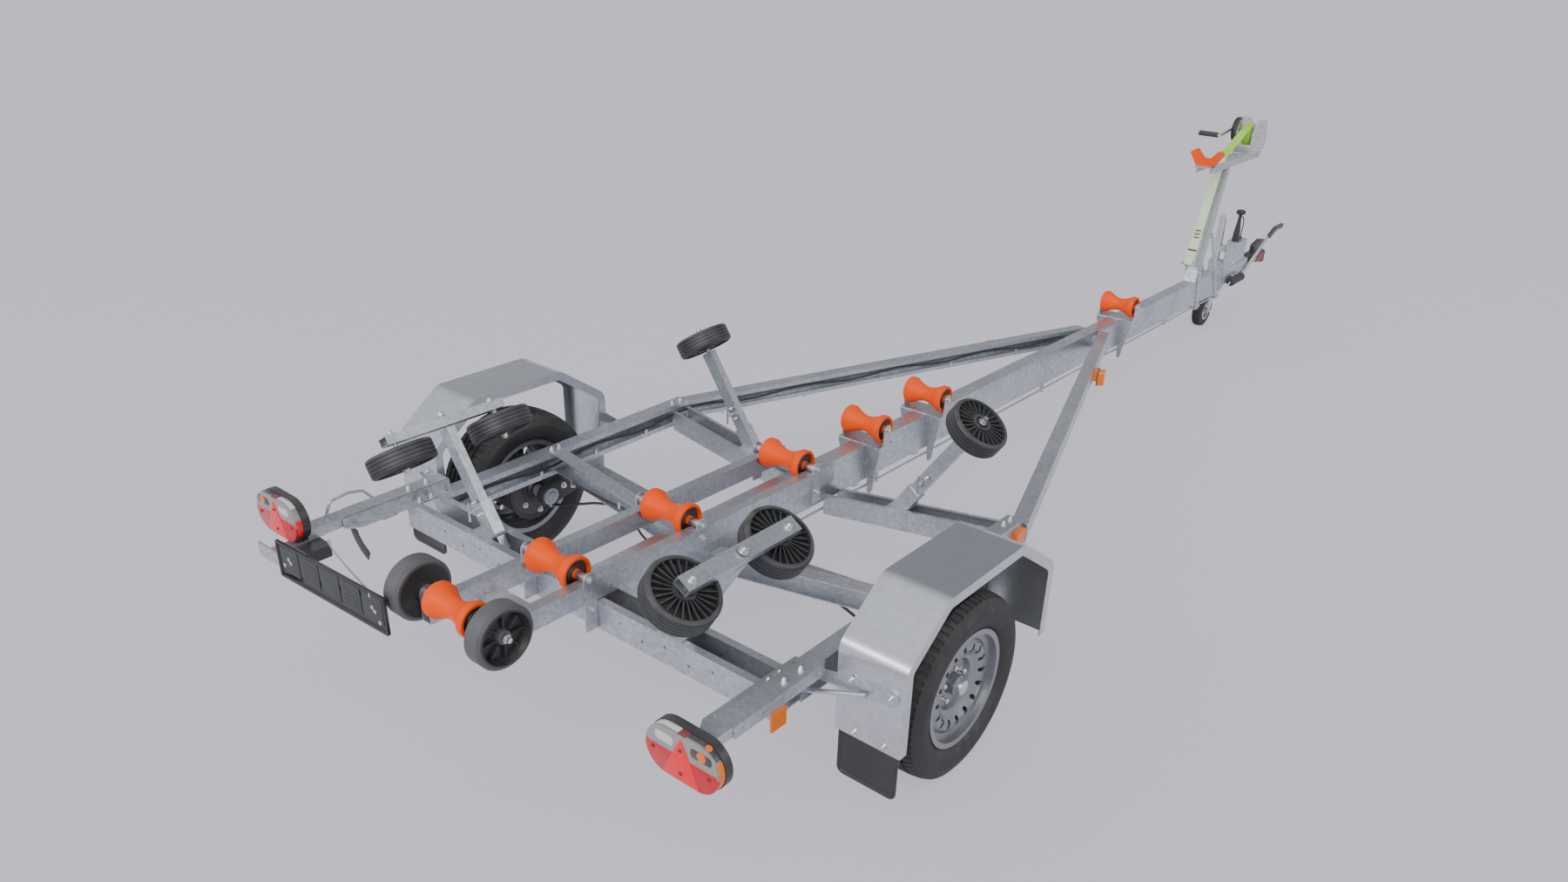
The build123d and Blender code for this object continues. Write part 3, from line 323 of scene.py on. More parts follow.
def add_threads(tree, place, scale, direction):
    wave = tree.nodes.new("ShaderNodeTexWave")
    wave.bands_direction = direction
    wave.inputs["Scale"].default_value = scale
    wave.inputs["Distortion"].default_value = 0.6
    tree.links.new(place, wave.inputs["Vector"])
    return wave.outputs["Fac"]


def webbing_finish(name, dark, light):
    """Woven strap: threads across and along, with grubby patches."""
    finish, tree, shader = new_finish(name, 0.85)
    shader.inputs["Sheen Weight"].default_value = 0.3
    place = tree.nodes.new("ShaderNodeTexCoord").outputs["Object"]
    across = add_threads(tree, place, 120.0, "X")
    along = add_threads(tree, place, 150.0, "Z")
    weave = add_maths(tree, "MULTIPLY", across, along)
    settled = use_group(tree, GRAIN, 300.0)
    tone = add_maths(tree, "MULTIPLY_ADD", weave, 0.45, settled["Tone"])
    colour = blend_colours(tree, spread(tree, tone, 0.0, 1.0), dark, light)
    wire_finish(tree, shader, colour, weave, (0.75, 0.92), weave, 0.5, 0.0008)
    return finish


GALVANISED = zinc_finish(
    "galvanised steel", (0.32, 0.34, 0.37), (0.70, 0.73, 0.78), (0.26, 0.46), 85.0, 0.85)
DARK_GALVANISED = zinc_finish(
    "weathered galvanised steel", (0.2, 0.21, 0.23), (0.44, 0.46, 0.5), (0.42, 0.62), 70.0)
SHEET_ZINC = zinc_finish(
    "galvanised sheet", (0.5, 0.52, 0.55), (0.70, 0.72, 0.76), (0.24, 0.36), 60.0, 0.92, 0.1)
BRIGHT_ZINC = zinc_finish(
    "bright zinc plate", (0.5, 0.5, 0.49), (0.84, 0.84, 0.82), (0.18, 0.36), 300.0, 0.95, 0.1)
SILVER_PAINT = zinc_finish(
    "silver wheel paint", (0.2, 0.205, 0.225), (0.34, 0.345, 0.37), (0.22, 0.34), 600.0, 0.75, 0.2)
TYRE_RUBBER = moulded_finish(
    "road tyre rubber", (0.012, 0.013, 0.014), (0.03, 0.031, 0.031), (0.62, 0.85), 500.0, 0.45)
WHEEL_RUBBER = moulded_finish(
    "hull wheel rubber", (0.012, 0.013, 0.015), (0.036, 0.038, 0.041), (0.38, 0.56), 700.0, 0.35)
GREY_RUBBER = moulded_finish(
    "grey wheel rubber", (0.045, 0.047, 0.052), (0.085, 0.087, 0.096), (0.45, 0.6), 700.0, 0.3)
BLACK_RUBBER = moulded_finish(
    "black rubber", (0.012, 0.012, 0.013), (0.03, 0.03, 0.032), (0.5, 0.7), 900.0, 0.2)
ORANGE_ROLLER = moulded_finish(
    "orange roller", (0.74, 0.052, 0.0), (0.96, 0.095, 0.0), (0.34, 0.5), 500.0, 0.06, 0.0,
    dusty=(0.6, 0.28, 0.16), bump=0.08, gloss=0.14)
BLACK_PLASTIC = moulded_finish(
    "black plastic", (0.011, 0.011, 0.012), (0.028, 0.028, 0.03), (0.3, 0.48), 1200.0, 0.2)
PLATE_GREY = moulded_finish(
    "plate field grey", (0.028, 0.031, 0.029), (0.05, 0.054, 0.051), (0.5, 0.7), 600.0, 0.15)
BLACK_PAINT = moulded_finish(
    "black paint", (0.016, 0.016, 0.018), (0.035, 0.035, 0.038), (0.32, 0.5), 400.0, 0.25, 0.9)
DARK_RED_PAINT = moulded_finish(
    "dark red paint", (0.11, 0.012, 0.012), (0.2, 0.022, 0.02), (0.35, 0.5), 400.0, 0.25, 0.9)
RED_LENS = lens_finish("red lens", (0.3, 0.003, 0.008), (0.72, 0.014, 0.026))
RED_REFLECTOR = lens_finish("red reflector", (0.7, 0.006, 0.012), (0.95, 0.012, 0.025), 420.0)
AMBER_LENS = lens_finish("amber lens", (0.6, 0.1, 0.003), (0.95, 0.27, 0.01))
CLEAR_LENS = lens_finish("smoked clear lens", (0.12, 0.112, 0.112), (0.44, 0.41, 0.41))
SMOKED_LENS = lens_finish("dark smoked lens", (0.02, 0.02, 0.021), (0.1, 0.095, 0.095))
BRIGHT_LENS = lens_finish("reflector bowl", (0.4, 0.38, 0.38), (0.85, 0.82, 0.82), 260.0)
LIME_WEBBING = webbing_finish("lime webbing", (0.17, 0.42, 0.006), (0.44, 0.8, 0.05))
PALE_WEBBING = webbing_finish("pale webbing", (0.42, 0.52, 0.3), (0.74, 0.82, 0.58))
BROWN_THREAD = webbing_finish("brown stitching", (0.09, 0.04, 0.025), (0.22, 0.1, 0.06))


def paint_nodes(finish, names):
    for name in names.split():
        mesh = nodes[name].data
        mesh.materials.clear()
        mesh.materials.append(finish)


paint_nodes(GALVANISED, "drawbar frame_rails crossmembers cradle_tubes roller_brackets bracket_plates")
paint_nodes(GALVANISED, "support_posts post_sleeves winch_post post_clamps winch_arm light_arms")
paint_nodes(GALVANISED, "rocker_beam_left rocker_beam_right overrun_housing")
paint_nodes(DARK_GALVANISED, "axle")
paint_nodes(SHEET_ZINC, "mudguards")
paint_nodes(BRIGHT_ZINC, "roller_pins winch_frame brake_linkage handbrake_lever")
paint_nodes(BRIGHT_ZINC, "jockey_tube jockey_fork jockey_rim")
paint_nodes(SILVER_PAINT, "rim_left rim_right")
paint_nodes(TYRE_RUBBER, "tyre_left tyre_right jockey_tyre")
paint_nodes(BLACK_PLASTIC, "mudflaps lamp_bases plate_holder winch_plastics handbrake_grip plug")
paint_nodes(BLACK_PAINT, "brake_backplates coupling_head")
paint_nodes(BLACK_RUBBER, "coupling_rubber wiring_loom plug_cable")
paint_nodes(RED_LENS, "lamp_lenses")
paint_nodes(AMBER_LENS, "side_markers")
paint_nodes(LIME_WEBBING, "winch_strap")
paint_nodes(ORANGE_ROLLER, "bow_snubber rear_roller")
for roller_number in range(1, 7):
    paint_nodes(ORANGE_ROLLER, "keel_roller_%d" % roller_number)
paint_nodes(GREY_RUBBER, "rear_side_wheels")
for wheel_number in (1, 2, 3):
    paint_nodes(WHEEL_RUBBER, "hull_wheel_left_%d hull_wheel_right_%d" % (wheel_number, wheel_number))


# Floor, light and a sky that is bright behind the camera, overhead and along the horizon, dim ahead
FLOOR_TONES = ((0.2, 0.198, 0.212), (0.21, 0.208, 0.222))
FLOOR_GLOW = (0.9, 0.88, 1.0, 1.0)
FLOOR_GLOW_STRENGTH = 0.58
FLOOR_RADIUS = 90
SKY_DIM = (0.15, 0.155, 0.17)
SKY_BRIGHT = (0.86, 0.87, 0.93)
SKY_STRENGTH = 1.0
SKY_SLOPE = 0.85
SKY_SHARE = 0.2
HORIZON_TOP = 0.4
HORIZON_FADE = 6.0
HORIZON_SHARE = 0.8
KEY_SPOT = (0, 0, 8)
KEY_FROM = (0.45, -1.0, 0.9)
KEY_STRENGTH = 1.7
KEY_WIDTH = math.radians(40)
SOFTBOXES = (
    ("rear softbox", (-1.5, -10.0, 5.0), (0, -1.5, 0.4), (6.0, 3.0), 260),
    ("right softbox", (8.0, 1.0, 5.0), (0, 0, 0.4), (8.0, 3.0), 200),
)


def clear_selection():
    if bpy.context.object and bpy.context.object.mode != "OBJECT":
        bpy.ops.object.mode_set(mode="OBJECT")
    bpy.ops.object.select_all(action="DESELECT")


def add_lamp(kind, name, place, way, energy):
    """A light that shines one way; gives back its own settings."""
    bpy.ops.object.light_add(type=kind, location=place)
    lamp = bpy.context.object
    lamp.name = name
    lamp.data.energy = energy
    lamp.rotation_euler = way.to_track_quat("-Z", "Y").to_euler()
    return lamp.data


def set_sky():
    world = bpy.data.worlds.new("studio sky")
    bpy.context.scene.world = world
    world.use_nodes = True
    tree = world.node_tree
    sky = tree.nodes["Background"]
    split = tree.nodes.new("ShaderNodeSeparateXYZ")
    tree.links.new(tree.nodes.new("ShaderNodeTexCoord").outputs["Generated"], split.inputs[0])
    toward = add_maths(tree, "SUBTRACT", split.outputs["Z"], split.outputs["Y"])
    share = add_maths(tree, "MULTIPLY_ADD", toward, SKY_SLOPE, SKY_SHARE)
    band = add_maths(tree, "MULTIPLY_ADD", split.outputs["Z"], -HORIZON_FADE, HORIZON_TOP * HORIZON_FADE)
    share = hold(tree, share, hold(tree, band, 0.0, HORIZON_SHARE), 1.0)
    tree.links.new(blend_colours(tree, share, SKY_DIM, SKY_BRIGHT), sky.inputs["Color"])
    sky.inputs["Strength"].default_value = SKY_STRENGTH


def set_stage():
    floor_finish, tree, shader = new_finish("studio floor", 0.95, specular=0.1)
    grain = use_group(tree, GRAIN, 40.0)
    tree.links.new(blend_colours(tree, grain["Tone"], *FLOOR_TONES), shader.inputs["Base Color"])
    shader.inputs["Emission Color"].default_value = FLOOR_GLOW
    shader.inputs["Emission Strength"].default_value = FLOOR_GLOW_STRENGTH
    clear_selection()
    bpy.ops.mesh.primitive_circle_add(vertices=64, radius=FLOOR_RADIUS, fill_type="NGON")
    floor = bpy.context.object
    floor.name = "studio_floor"
    floor.data.materials.append(floor_finish)
    key = add_lamp("SUN", "key light", KEY_SPOT, -Vector(KEY_FROM), KEY_STRENGTH)
    key.angle = KEY_WIDTH
    for name, place, aim, size, power in SOFTBOXES:
        box = add_lamp("AREA", name, place, Vector(aim) - Vector(place), power)
        box.shape = "RECTANGLE"
        box.size, box.size_y = size
    set_sky()


set_stage()


# Shaping tools
SMOOTH_ANGLE = math.radians(32)
POINT_R = 0.005
HEX_CORNER = 0.577


def select_only(*pieces):
    clear_selection()
    for piece in pieces:
        piece.select_set(True)
    bpy.context.view_layer.objects.active = pieces[0]


def settle(piece, body, finish, bevel=0.0, smooth=SMOOTH_ANGLE):
    """Finish a piece: soft corners, shading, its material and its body."""
    select_only(piece)
    bpy.ops.object.transform_apply(location=True, rotation=True, scale=True)
    if bevel:
        modifier = piece.modifiers.new("soft corners", "BEVEL")
        modifier.width = bevel * MM
        modifier.segments = 2
        modifier.limit_method = "ANGLE"
        bpy.ops.object.modifier_apply(modifier=modifier.name)
    bpy.ops.object.shade_smooth_by_angle(angle=smooth)
    piece.data.materials.clear()
    piece.data.materials.append(finish)
    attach(piece, body)
    return piece


def merge_and_turn_out(size=0.02):
    bpy.ops.mesh.select_all(action="SELECT")
    bpy.ops.mesh.remove_doubles(threshold=size * MM)
    bpy.ops.mesh.normals_make_consistent(inside=False)


def edit_points(piece):
    """Go into edit mode on one piece, picking by points, with everything picked."""
    select_only(piece)
    bpy.ops.object.mode_set(mode="EDIT")
    bpy.ops.mesh.select_mode(type="VERT")
    bpy.ops.mesh.select_all(action="SELECT")


def pick_faces(piece, wanted):
    """Pick the faces that a test wants, and go into edit mode on them."""
    select_only(piece)
    bpy.ops.object.mode_set(mode="EDIT")
    bpy.ops.mesh.select_mode(type="FACE")
    bpy.ops.mesh.select_all(action="DESELECT")
    bpy.ops.object.mode_set(mode="OBJECT")
    for face in piece.data.polygons:
        face.select = bool(wanted(face))
    bpy.ops.object.mode_set(mode="EDIT")


def sink_face(piece, border, lip, depth):
    """Sink the top of a plate inside a border, with a narrow slope."""
    pick_faces(piece, lambda face: face.normal.z > 0.9)
    bpy.ops.mesh.inset(thickness=border * MM, depth=0)
    bpy.ops.mesh.inset(thickness=lip * MM, depth=-depth * MM)
    bpy.ops.object.mode_set(mode="OBJECT")


def turned(name, profile, sides=32):
    """Turn a profile of (along, radius) pairs in millimetres around Z, each ring extruded from the last."""
    clear_selection()
    along, radius = profile[0]
    radius = max(radius, POINT_R)
    bpy.ops.mesh.primitive_circle_add(vertices=sides, radius=radius * MM, location=(0, 0, 0))
    piece = bpy.context.object
    piece.name = name
    edit_points(piece)
    bpy.ops.transform.translate(value=(0, 0, along * MM))
    for next_along, next_radius in profile[1:]:
        next_radius = max(next_radius, POINT_R)
        bpy.ops.mesh.extrude_edges_move(TRANSFORM_OT_translate={"value": (0, 0, (next_along - along) * MM)})
        share = next_radius / radius
        bpy.ops.transform.resize(value=(share, share, 1), center_override=(0, 0, 0))
        along, radius = next_along, next_radius
    merge_and_turn_out()
    bpy.ops.object.mode_set(mode="OBJECT")
    return piece


def draw_line(name, start, points):
    """A line drawn point by point in edit mode: its start in metres, its points in millimetres."""
    clear_selection()
    bpy.ops.mesh.primitive_plane_add(size=MM, location=(0, 0, 0))
    piece = bpy.context.object
    piece.name = name
    edit_points(piece)
    bpy.ops.mesh.merge(type="CENTER")
    bpy.ops.transform.translate(value=start)
    for here, there in zip(points, points[1:]):
        move = tuple((b - a) * MM for a, b in zip(here, there))
        bpy.ops.mesh.extrude_vertices_move(TRANSFORM_OT_translate={"value": move})
    bpy.ops.mesh.select_all(action="SELECT")
    return piece


def plate(name, outline, thick):
    """A plate with an outline of (x, y) pairs in millimetres, drawn corner by corner and extruded up Z."""
    start = (outline[0][0] * MM, outline[0][1] * MM, 0)
    piece = draw_line(name, start, [(x, y, 0) for x, y in outline])
    bpy.ops.mesh.edge_face_add()
    bpy.ops.mesh.extrude_region_move(TRANSFORM_OT_translate={"value": (0, 0, thick * MM)})
    merge_and_turn_out(0.001)
    bpy.ops.object.mode_set(mode="OBJECT")
    return piece


def arc(centre, radius, start, end, steps):
    """Points along an arc between two turns in degrees."""
    points = []
    for step in range(steps + 1):
        turn = math.radians(start + (end - start) * step / steps)
        points.append((centre[0] + radius * math.cos(turn), centre[1] + radius * math.sin(turn)))
    return points


def rounded(wide, tall, corner, steps=5):
    """Outline of a rectangle with round corners, about its middle."""
    points = []
    for quarter, (way_x, way_y) in enumerate(((1, 1), (-1, 1), (-1, -1), (1, -1))):
        middle = (way_x * (wide / 2 - corner), way_y * (tall / 2 - corner))
        points += arc(middle, corner, 90 * quarter, 90 * quarter + 90, steps)
    return points


def put(piece, origin, up, along=None):
    """Stand a piece that was made lying on XY: its Z along up and its X as near along as it can be."""
    up = Vector(up).normalized()
    along = Vector(along or (X_AXIS if abs(up.x) < 0.9 else Y_AXIS))
    across = up.cross(along).normalized()
    piece.matrix_world = axes_at(origin, across.cross(up), across, up)
    return piece


def both_sides(x, y, z, way=1):
    """Places on the left and the right that face outwards, or inwards when way is -1."""
    return [(spot(side * x, y, z), (way * side, 0, 0)) for side in SIDES]


def twin(name, pattern, *place):
    """A copy of a pattern piece with its own mesh, in its place."""
    copy = bpy.data.objects.new(name, pattern.data.copy())
    bpy.context.collection.objects.link(copy)
    return put(copy, *place)


def join(name, made):
    select_only(*made)
    if len(made) > 1:
        bpy.ops.object.join()
    made[0].name = name
    return made[0]


def copies(name, pattern, places, body, finish):
    """One joined piece from copies of a small pattern piece."""
    return settle(join(name, [twin(name, pattern, *place) for place in places]), body, finish)


def drop_patterns(*patterns):
    select_only(*patterns)
    bpy.ops.object.delete()


def start_path(name, points, radius, steps, sides):
    """A round path with one open smooth line through control points in metres."""
    clear_selection()
    bpy.ops.curve.primitive_nurbs_path_add(location=(0, 0, 0))
    line = bpy.context.object
    line.name = name
    line.data.splines.clear()
    spline = line.data.splines.new("NURBS")
    spline.points.add(len(points) - 1)
    for point, where in zip(spline.points, points):
        point.co = (*where, 1)
    spline.order_u = 3
    spline.use_endpoint_u = True
    spline.resolution_u = steps
    line.data.bevel_depth = radius * MM
    line.data.bevel_resolution = sides
    return line


def bent_rod(name, points, radius, finish):
    """A round rod or cable with closed ends on the frame."""
    line = start_path(name, points, radius, 6, 3)
    line.data.use_fill_caps = True
    bpy.ops.object.convert(target="MESH")
    return settle(bpy.context.object, "frame", finish)


def hex_bolt(across, tall, washer):
    """A hexagon head with a chamfered crown on a washer, its seat on XY."""
    clear_selection()
    middle = (0, 0, (tall / 2 + 1.5) * MM)
    bpy.ops.mesh.primitive_cylinder_add(
        vertices=6, radius=across * HEX_CORNER * MM, depth=tall * MM, location=middle)
    head = bpy.context.object
    head.name = "hex head"
    edit_points(head)
    bpy.ops.mesh.bevel(offset=across * 0.05 * MM, segments=1)
    bpy.ops.object.mode_set(mode="OBJECT")
    seat = turned("washer", [(0, 0), (0, washer), (1.1, washer), (1.5, washer - 0.5), (1.5, 0)], 20)
    thread = across * 0.3
    stub = turned("thread end", [
        (0, 0), (0, thread), (tall + 4, thread), (tall + 5, across * 0.24), (tall + 5, 0),
    ], 12)
    select_only(head, seat, stub)
    bpy.ops.object.join()
    bpy.ops.object.transform_apply(location=True, rotation=True, scale=True)
    return head


# Road tyres with shoulder blocks and sipes
TREAD_PITCHES = 72
TYRE_HALF = 92.5
WHEEL_BOLT_RING = 56


def road_tyre():
    half = TYRE_HALF
    profile = [
        (-54, 181), (-68, 181), (-70, 194), (-77, 198), (-84, 208), (-85.5, 210), (-half + 0.5, 236), (-half, 242),
        (-half + 2, 254), (-half + 4, 256), (-half + 9, 275), (-half + 17, 288), (-58, 293.5), (-44, 295.6),
        (-42, 288), (-37, 288), (-35, 296.6), (-17, 297.6), (-15, 289.5), (-10, 289.5), (-8, 297.9),
    ]
    profile += [(-a, r) for a, r in reversed(profile)]
    profile += [(50, 200), (-50, 200), (-54, 181)]
    tyre = turned("road_tyre", profile, 2 * TREAD_PITCHES)

    def in_sipe(face):
        middle = face.center / MM
        reach = math.hypot(middle.x, middle.y)
        pitch = int((math.degrees(math.atan2(middle.y, middle.x)) % 360) / (180 / TREAD_PITCHES))
        shift = 1 if middle.z > 0 else 0
        in_groove = reach < 293 and abs(middle.z) < 45
        if reach < 276 or abs(face.normal.z) > 0.8 or in_groove or abs(middle.z) < 18 or (pitch + shift) % 2:
            return False
        return abs(middle.z) > 44 or pitch % 4 == shift

    pick_faces(tyre, in_sipe)
    bpy.ops.mesh.inset(thickness=1.1 * MM, depth=-3.5 * MM)
    bpy.ops.object.mode_set(mode="OBJECT")
    return tyre


def dress_road_wheels():
    pattern = road_tyre()
    bolt = hex_bolt(17, 12, 12)
    cap = turned("hub cap", [(-2, 0), (-2, 27), (4, 27), (14, 24), (18, 18), (19, 0)], 32)
    for side, name in SIDE_NAMES.items():
        body = "wheel_" + name
        out = (side, 0, 0)
        tyre = twin("road_tyre_" + name, pattern, spot(side * WHEEL_X, 0, TYRE_R), X_AXIS)
        settle(tyre, body, TYRE_RUBBER)
        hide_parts("tyre_" + name)
        disc = spot(side * (WHEEL_X + 24), 0, TYRE_R)
        places = []
        for count in range(5):
            turn = math.radians(18 + 72 * count)
            places.append((disc + Vector((0, math.cos(turn), math.sin(turn))) * WHEEL_BOLT_RING * MM, out))
        copies("wheel_bolts_" + name, bolt, places, body, BRIGHT_ZINC)
        centre = spot(side * (WHEEL_X + 54), 0, TYRE_R)
        copies("wheel_cap_" + name, cap, [(centre, out)], body, BRIGHT_ZINC)
    drop_patterns(pattern, bolt, cap)


dress_road_wheels()


# Rear lamps: smoked upper windows, red lower half with its triangle, amber outer end
LAMP_X = 889.0
LAMP_Z = 569.0
LENS_BACK = -985.0
LENS_DEEP = 24.0
LENS_EDGE = (236.4, 136.4)
SIDE_BULB_TURN = math.radians(68)


def oblong_edge(wide, tall, start, end, steps=14):
    """Points along an oblong's outline, anticlockwise between two turns in degrees around its end arcs."""
    reach = (wide - tall) / 2
    points = []
    for step in range(steps + 1):
        turn = math.radians(start + (end - start) * step / steps)
        middle = reach if math.cos(turn) > 0 else -reach
        points.append((middle + tall / 2 * math.cos(turn), tall / 2 * math.sin(turn)))
    return points


def end_wall(middle, reach, deep, steps=10):
    """A strip of the lens's side wall round one end, its outer line first."""
    wide, tall = LENS_EDGE
    outer = oblong_edge(wide, tall, middle - reach, middle + reach, steps)
    inner = oblong_edge(wide - 2 * deep, tall - 2 * deep, middle - reach, middle + reach, steps)
    return outer + inner[::-1]


def top_window():
    return oblong_edge(*LENS_EDGE, 38, 86, 10) + [(14, 68.2), (14, 52), (50, 52), (92, 30)]


def top_bowl():
    return [(-14, 68.2)] + oblong_edge(*LENS_EDGE, 94, 128, 8) + [(-78, 40), (-50, 52), (-14, 52)]


# Name, outline with x outwards, how far it stands out of the lens, finish, how far its foot is moved back
LENS_PARTS = (
    ("lamp_red_%s", oblong_edge(235.6, 135.6, 184, 356, 26) + [(112, 8), (-112, 8)], 0.6, RED_LENS, 0),
    ("lamp_rail_%s_inner", [(-108, 6), (-108, 10), (-24, 10), (-26, 6)], 1.4, CLEAR_LENS, 2),
    ("lamp_rail_%s_outer", [(26, 6), (24, 10), (108, 10), (108, 6)], 1.4, CLEAR_LENS, 2),
    ("lamp_triangle_%s", [(-63, -65), (63, -65), (4, 53), (-4, 53)], 2.4, RED_REFLECTOR, 2),
    ("lamp_outer_end_%s", end_wall(4, 30, 9), -4.0, AMBER_LENS, 0),
    ("lamp_inner_end_%s", end_wall(188, 26, 9), -4.0, RED_REFLECTOR, 0),
    ("lamp_top_window_%s", top_window(), -7.0, SMOKED_LENS, 0),
    ("lamp_top_bowl_%s", top_bowl(), -7.0, BRIGHT_LENS, 0),
    ("lamp_divider_%s", [(-8, 52), (8, 52), (13, 68.6), (-13, 68.6)], -1.6, DARK_RED_PAINT, 0),
)


def lens_part(name, outline, proud, finish, side, flip=1, back=0):
    """One lens moulding, its outline as seen from behind the trailer; flip -1 swaps its left and right."""
    points = [(x * flip, z) for x, z in outline]
    if flip < 0:
        points.reverse()
    piece = plate(name, points, LENS_DEEP + proud - back)
    put(piece, spot(side * LAMP_X, LENS_BACK - back, LAMP_Z), REARWARD, X_AXIS)
    settle(piece, "frame", finish, 1.6)
    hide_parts("lamp_lenses")


def dress_lamp(side, name):
    def on_lens(x, z, proud=0.0):
        """A point on the face of the lens, x measured outwards from its middle."""
        return spot(side * (LAMP_X + x), LENS_BACK - LENS_DEEP - proud, LAMP_Z + z)

    lens_part("lamp_shell_" + name, oblong_edge(234, 134, 0, 360, 40)[:-1], 0, CLEAR_LENS, side)
    for label, outline, proud, finish, back in LENS_PARTS:
        lens_part(label % name, outline, proud, finish, side, side, back)
    for label, x, z, wide, finish in (("inner", -54, 36, 58, BRIGHT_LENS), ("outer", 64, 38, 66, SMOKED_LENS)):
        bowl = plate("lamp_bowl_%s_%s" % (label, name), rounded(wide, 26, 9, 4), 1.2)
        settle(put(bowl, on_lens(x, z), REARWARD, X_AXIS), "frame", finish, 0.5)
    bulb = turned("lamp_bulb_" + name, [(0, 0), (0, 14), (1.4, 14), (2.6, 9), (3.0, 0)], 20)
    settle(put(bulb, on_lens(66, 40, 0.8), REARWARD), "frame", AMBER_LENS)
    side_bulb = turned("lamp_side_bulb_" + name, [(0, 0), (0, 9), (0.8, 9), (1.4, 0)], 16)
    out = Vector((side * math.cos(SIDE_BULB_TURN), 0, math.sin(SIDE_BULB_TURN)))
    middle = spot(side * (LAMP_X + 50), LENS_BACK - 10, LAMP_Z)
    settle(put(side_bulb, middle + out * 68.3 * MM, out), "frame", AMBER_LENS)
    screw = turned("lamp screw", [(0, 0), (0, 5.5), (1.6, 5.5), (2, 4.6), (0.8, 4), (0.6, 0)], 16)
    places = [(on_lens(x, z, 0.4), REARWARD) for x, z in ((-92, -8), (90, -10))]
    places += [(on_lens(0, z, 2.2), REARWARD) for z in (26, -42)]
    copies("lamp_screws_" + name, screw, places, "frame", DARK_RED_PAINT)
    drop_patterns(screw)


# Number plate holder
HOLDER_MID = (-441, -1096, 534)
HOLDER_TURN = 0.043
FIELD_PITCH = 101


def dress_plate_holder():
    """Black frame with five grey fields, short ribs, six screws and a wire stay; nothing is written on it."""
    along = Vector((math.cos(HOLDER_TURN), math.sin(HOLDER_TURN), 0))
    out = Vector((math.sin(HOLDER_TURN), -math.cos(HOLDER_TURN), 0))

    def on_holder(x, z, proud):
        return spot(*HOLDER_MID) + along * x * MM + out * proud * MM + Vector((0, 0, z * MM))

    border = plate("plate_frame", rounded(528, 124, 5, 3), 10)
    sink_face(border, 7, 1, 4.5)
    settle(put(border, on_holder(0, 0, -5), out, along), "frame", BLACK_PLASTIC, 0.5)
    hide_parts("plate_holder")
    field = plate("plate field", rounded(92, 88, 3, 2), 1.8)
    for count in range(5):
        place = on_holder((count - 2) * FIELD_PITCH, 6, 0.4)
        copy = twin("plate_field_%d" % (count + 1), field, place, out, along)
        settle(copy, "frame", PLATE_GREY, 0.4)
    screw = turned("plate screw", [(0, 0), (0, 7), (2, 7), (3.4, 4.5), (3.8, 0)], 18)
    screws = ((-205, 14), (-196, 4), (203, 10), (214, 0), (-232, -14), (232, -30))
    copies("plate_screws", screw, [(on_holder(x, z, 2.1), out) for x, z in screws], "frame", BRIGHT_ZINC)
    rib = plate("plate rib", rounded(30, 4, 1.6, 2), 1.0)
    places = []
    for field_x in (-FIELD_PITCH, FIELD_PITCH):
        for row in range(5):
            for column in (-20, 20):
                places.append((on_holder(field_x + column, 30 - 14 * row, 2.1), out))
    copies("plate_ribs", rib, places, "frame", BLACK_PLASTIC)
    drop_patterns(field, screw, rib)
    bent_rod("plate_stay", [
        spot(-690, -948, 520), spot(-684, -956, 540), spot(-664, -972, 545), spot(-480, -1030, 572),
        spot(-262, -1084, 594), spot(-246, -1088, 588), spot(-243, -1089, 576),
    ], 3, BRIGHT_ZINC)


for lamp_side, lamp_name in SIDE_NAMES.items():
    dress_lamp(lamp_side, lamp_name)
dress_plate_holder()


# Mudflaps with a raised border, and the guards' bolts
FLAP_X = (WHEEL_X - 85, WHEEL_X + 115)
FLAP_Z = (165.0, 345.0)


def dress_guards():
    bolt = hex_bolt(13, 7, 11)
    for side, name in SIDE_NAMES.items():
        outline = rounded(FLAP_X[1] - FLAP_X[0], FLAP_Z[1] - FLAP_Z[0], 22, 4)
        flap = plate("mudflap_" + name, outline, 6)
        sink_face(flap, 9, 1.5, 2.2)
        put(flap, spot(side * sum(FLAP_X) / 2, -406, sum(FLAP_Z) / 2), REARWARD, X_AXIS)
        settle(flap, "frame", BLACK_PLASTIC, 0.6)
        places = []
        for x, z in ((WHEEL_X - 47, 501), (WHEEL_X + 81, 500)):
            places.append((spot(side * x, -419, z), REARWARD))
            places.append((spot(side * x, 389, z), Y_AXIS))
        for x in (WHEEL_X - 31, WHEEL_X + 67):
            places.append((spot(side * x, -415, 333), REARWARD))
        for y in (-400, 370):
            places.append((spot(side * 829, y, 468), (side, 0, 0)))
        copies("guard_bolts_" + name, bolt, places, "frame", BRIGHT_ZINC)
    drop_patterns(bolt)
    for name in SIDE_NAMES.values():
        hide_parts("mudflaps")


dress_guards()


# Hull supports: nuts, washers, clamp bolts and turn handles
SLEEVES = ((ROCKER_MID, REAR_LEAN, 556), (FRONT_HULL_WHEEL, FRONT_LEAN, 528))
SLEEVE_HALF = 20
PIN_END = 35.3


def post_spot(side, top, lean, height):
    """The point of a leaning post's middle line at a height."""
    axis = lean_axis(side, lean)
    run = (top[2] - height) / axis.z
    return side * top[0] - axis.x * run, top[1], height


def dress_handle(name, seat):
    """A clamp screw that stands out of a sleeve to the rear, with an upright bar through its end."""
    end = seat + Vector((0, -34 * MM, 0))
    tip = Vector((0, 0, 34 * MM))
    bent_rod("sleeve_screw_" + name, [seat, seat.lerp(end, 0.5), end], 5, BRIGHT_ZINC)
    bent_rod("sleeve_handle_" + name, [end - tip, end, end + tip], 3.5, BRIGHT_ZINC)


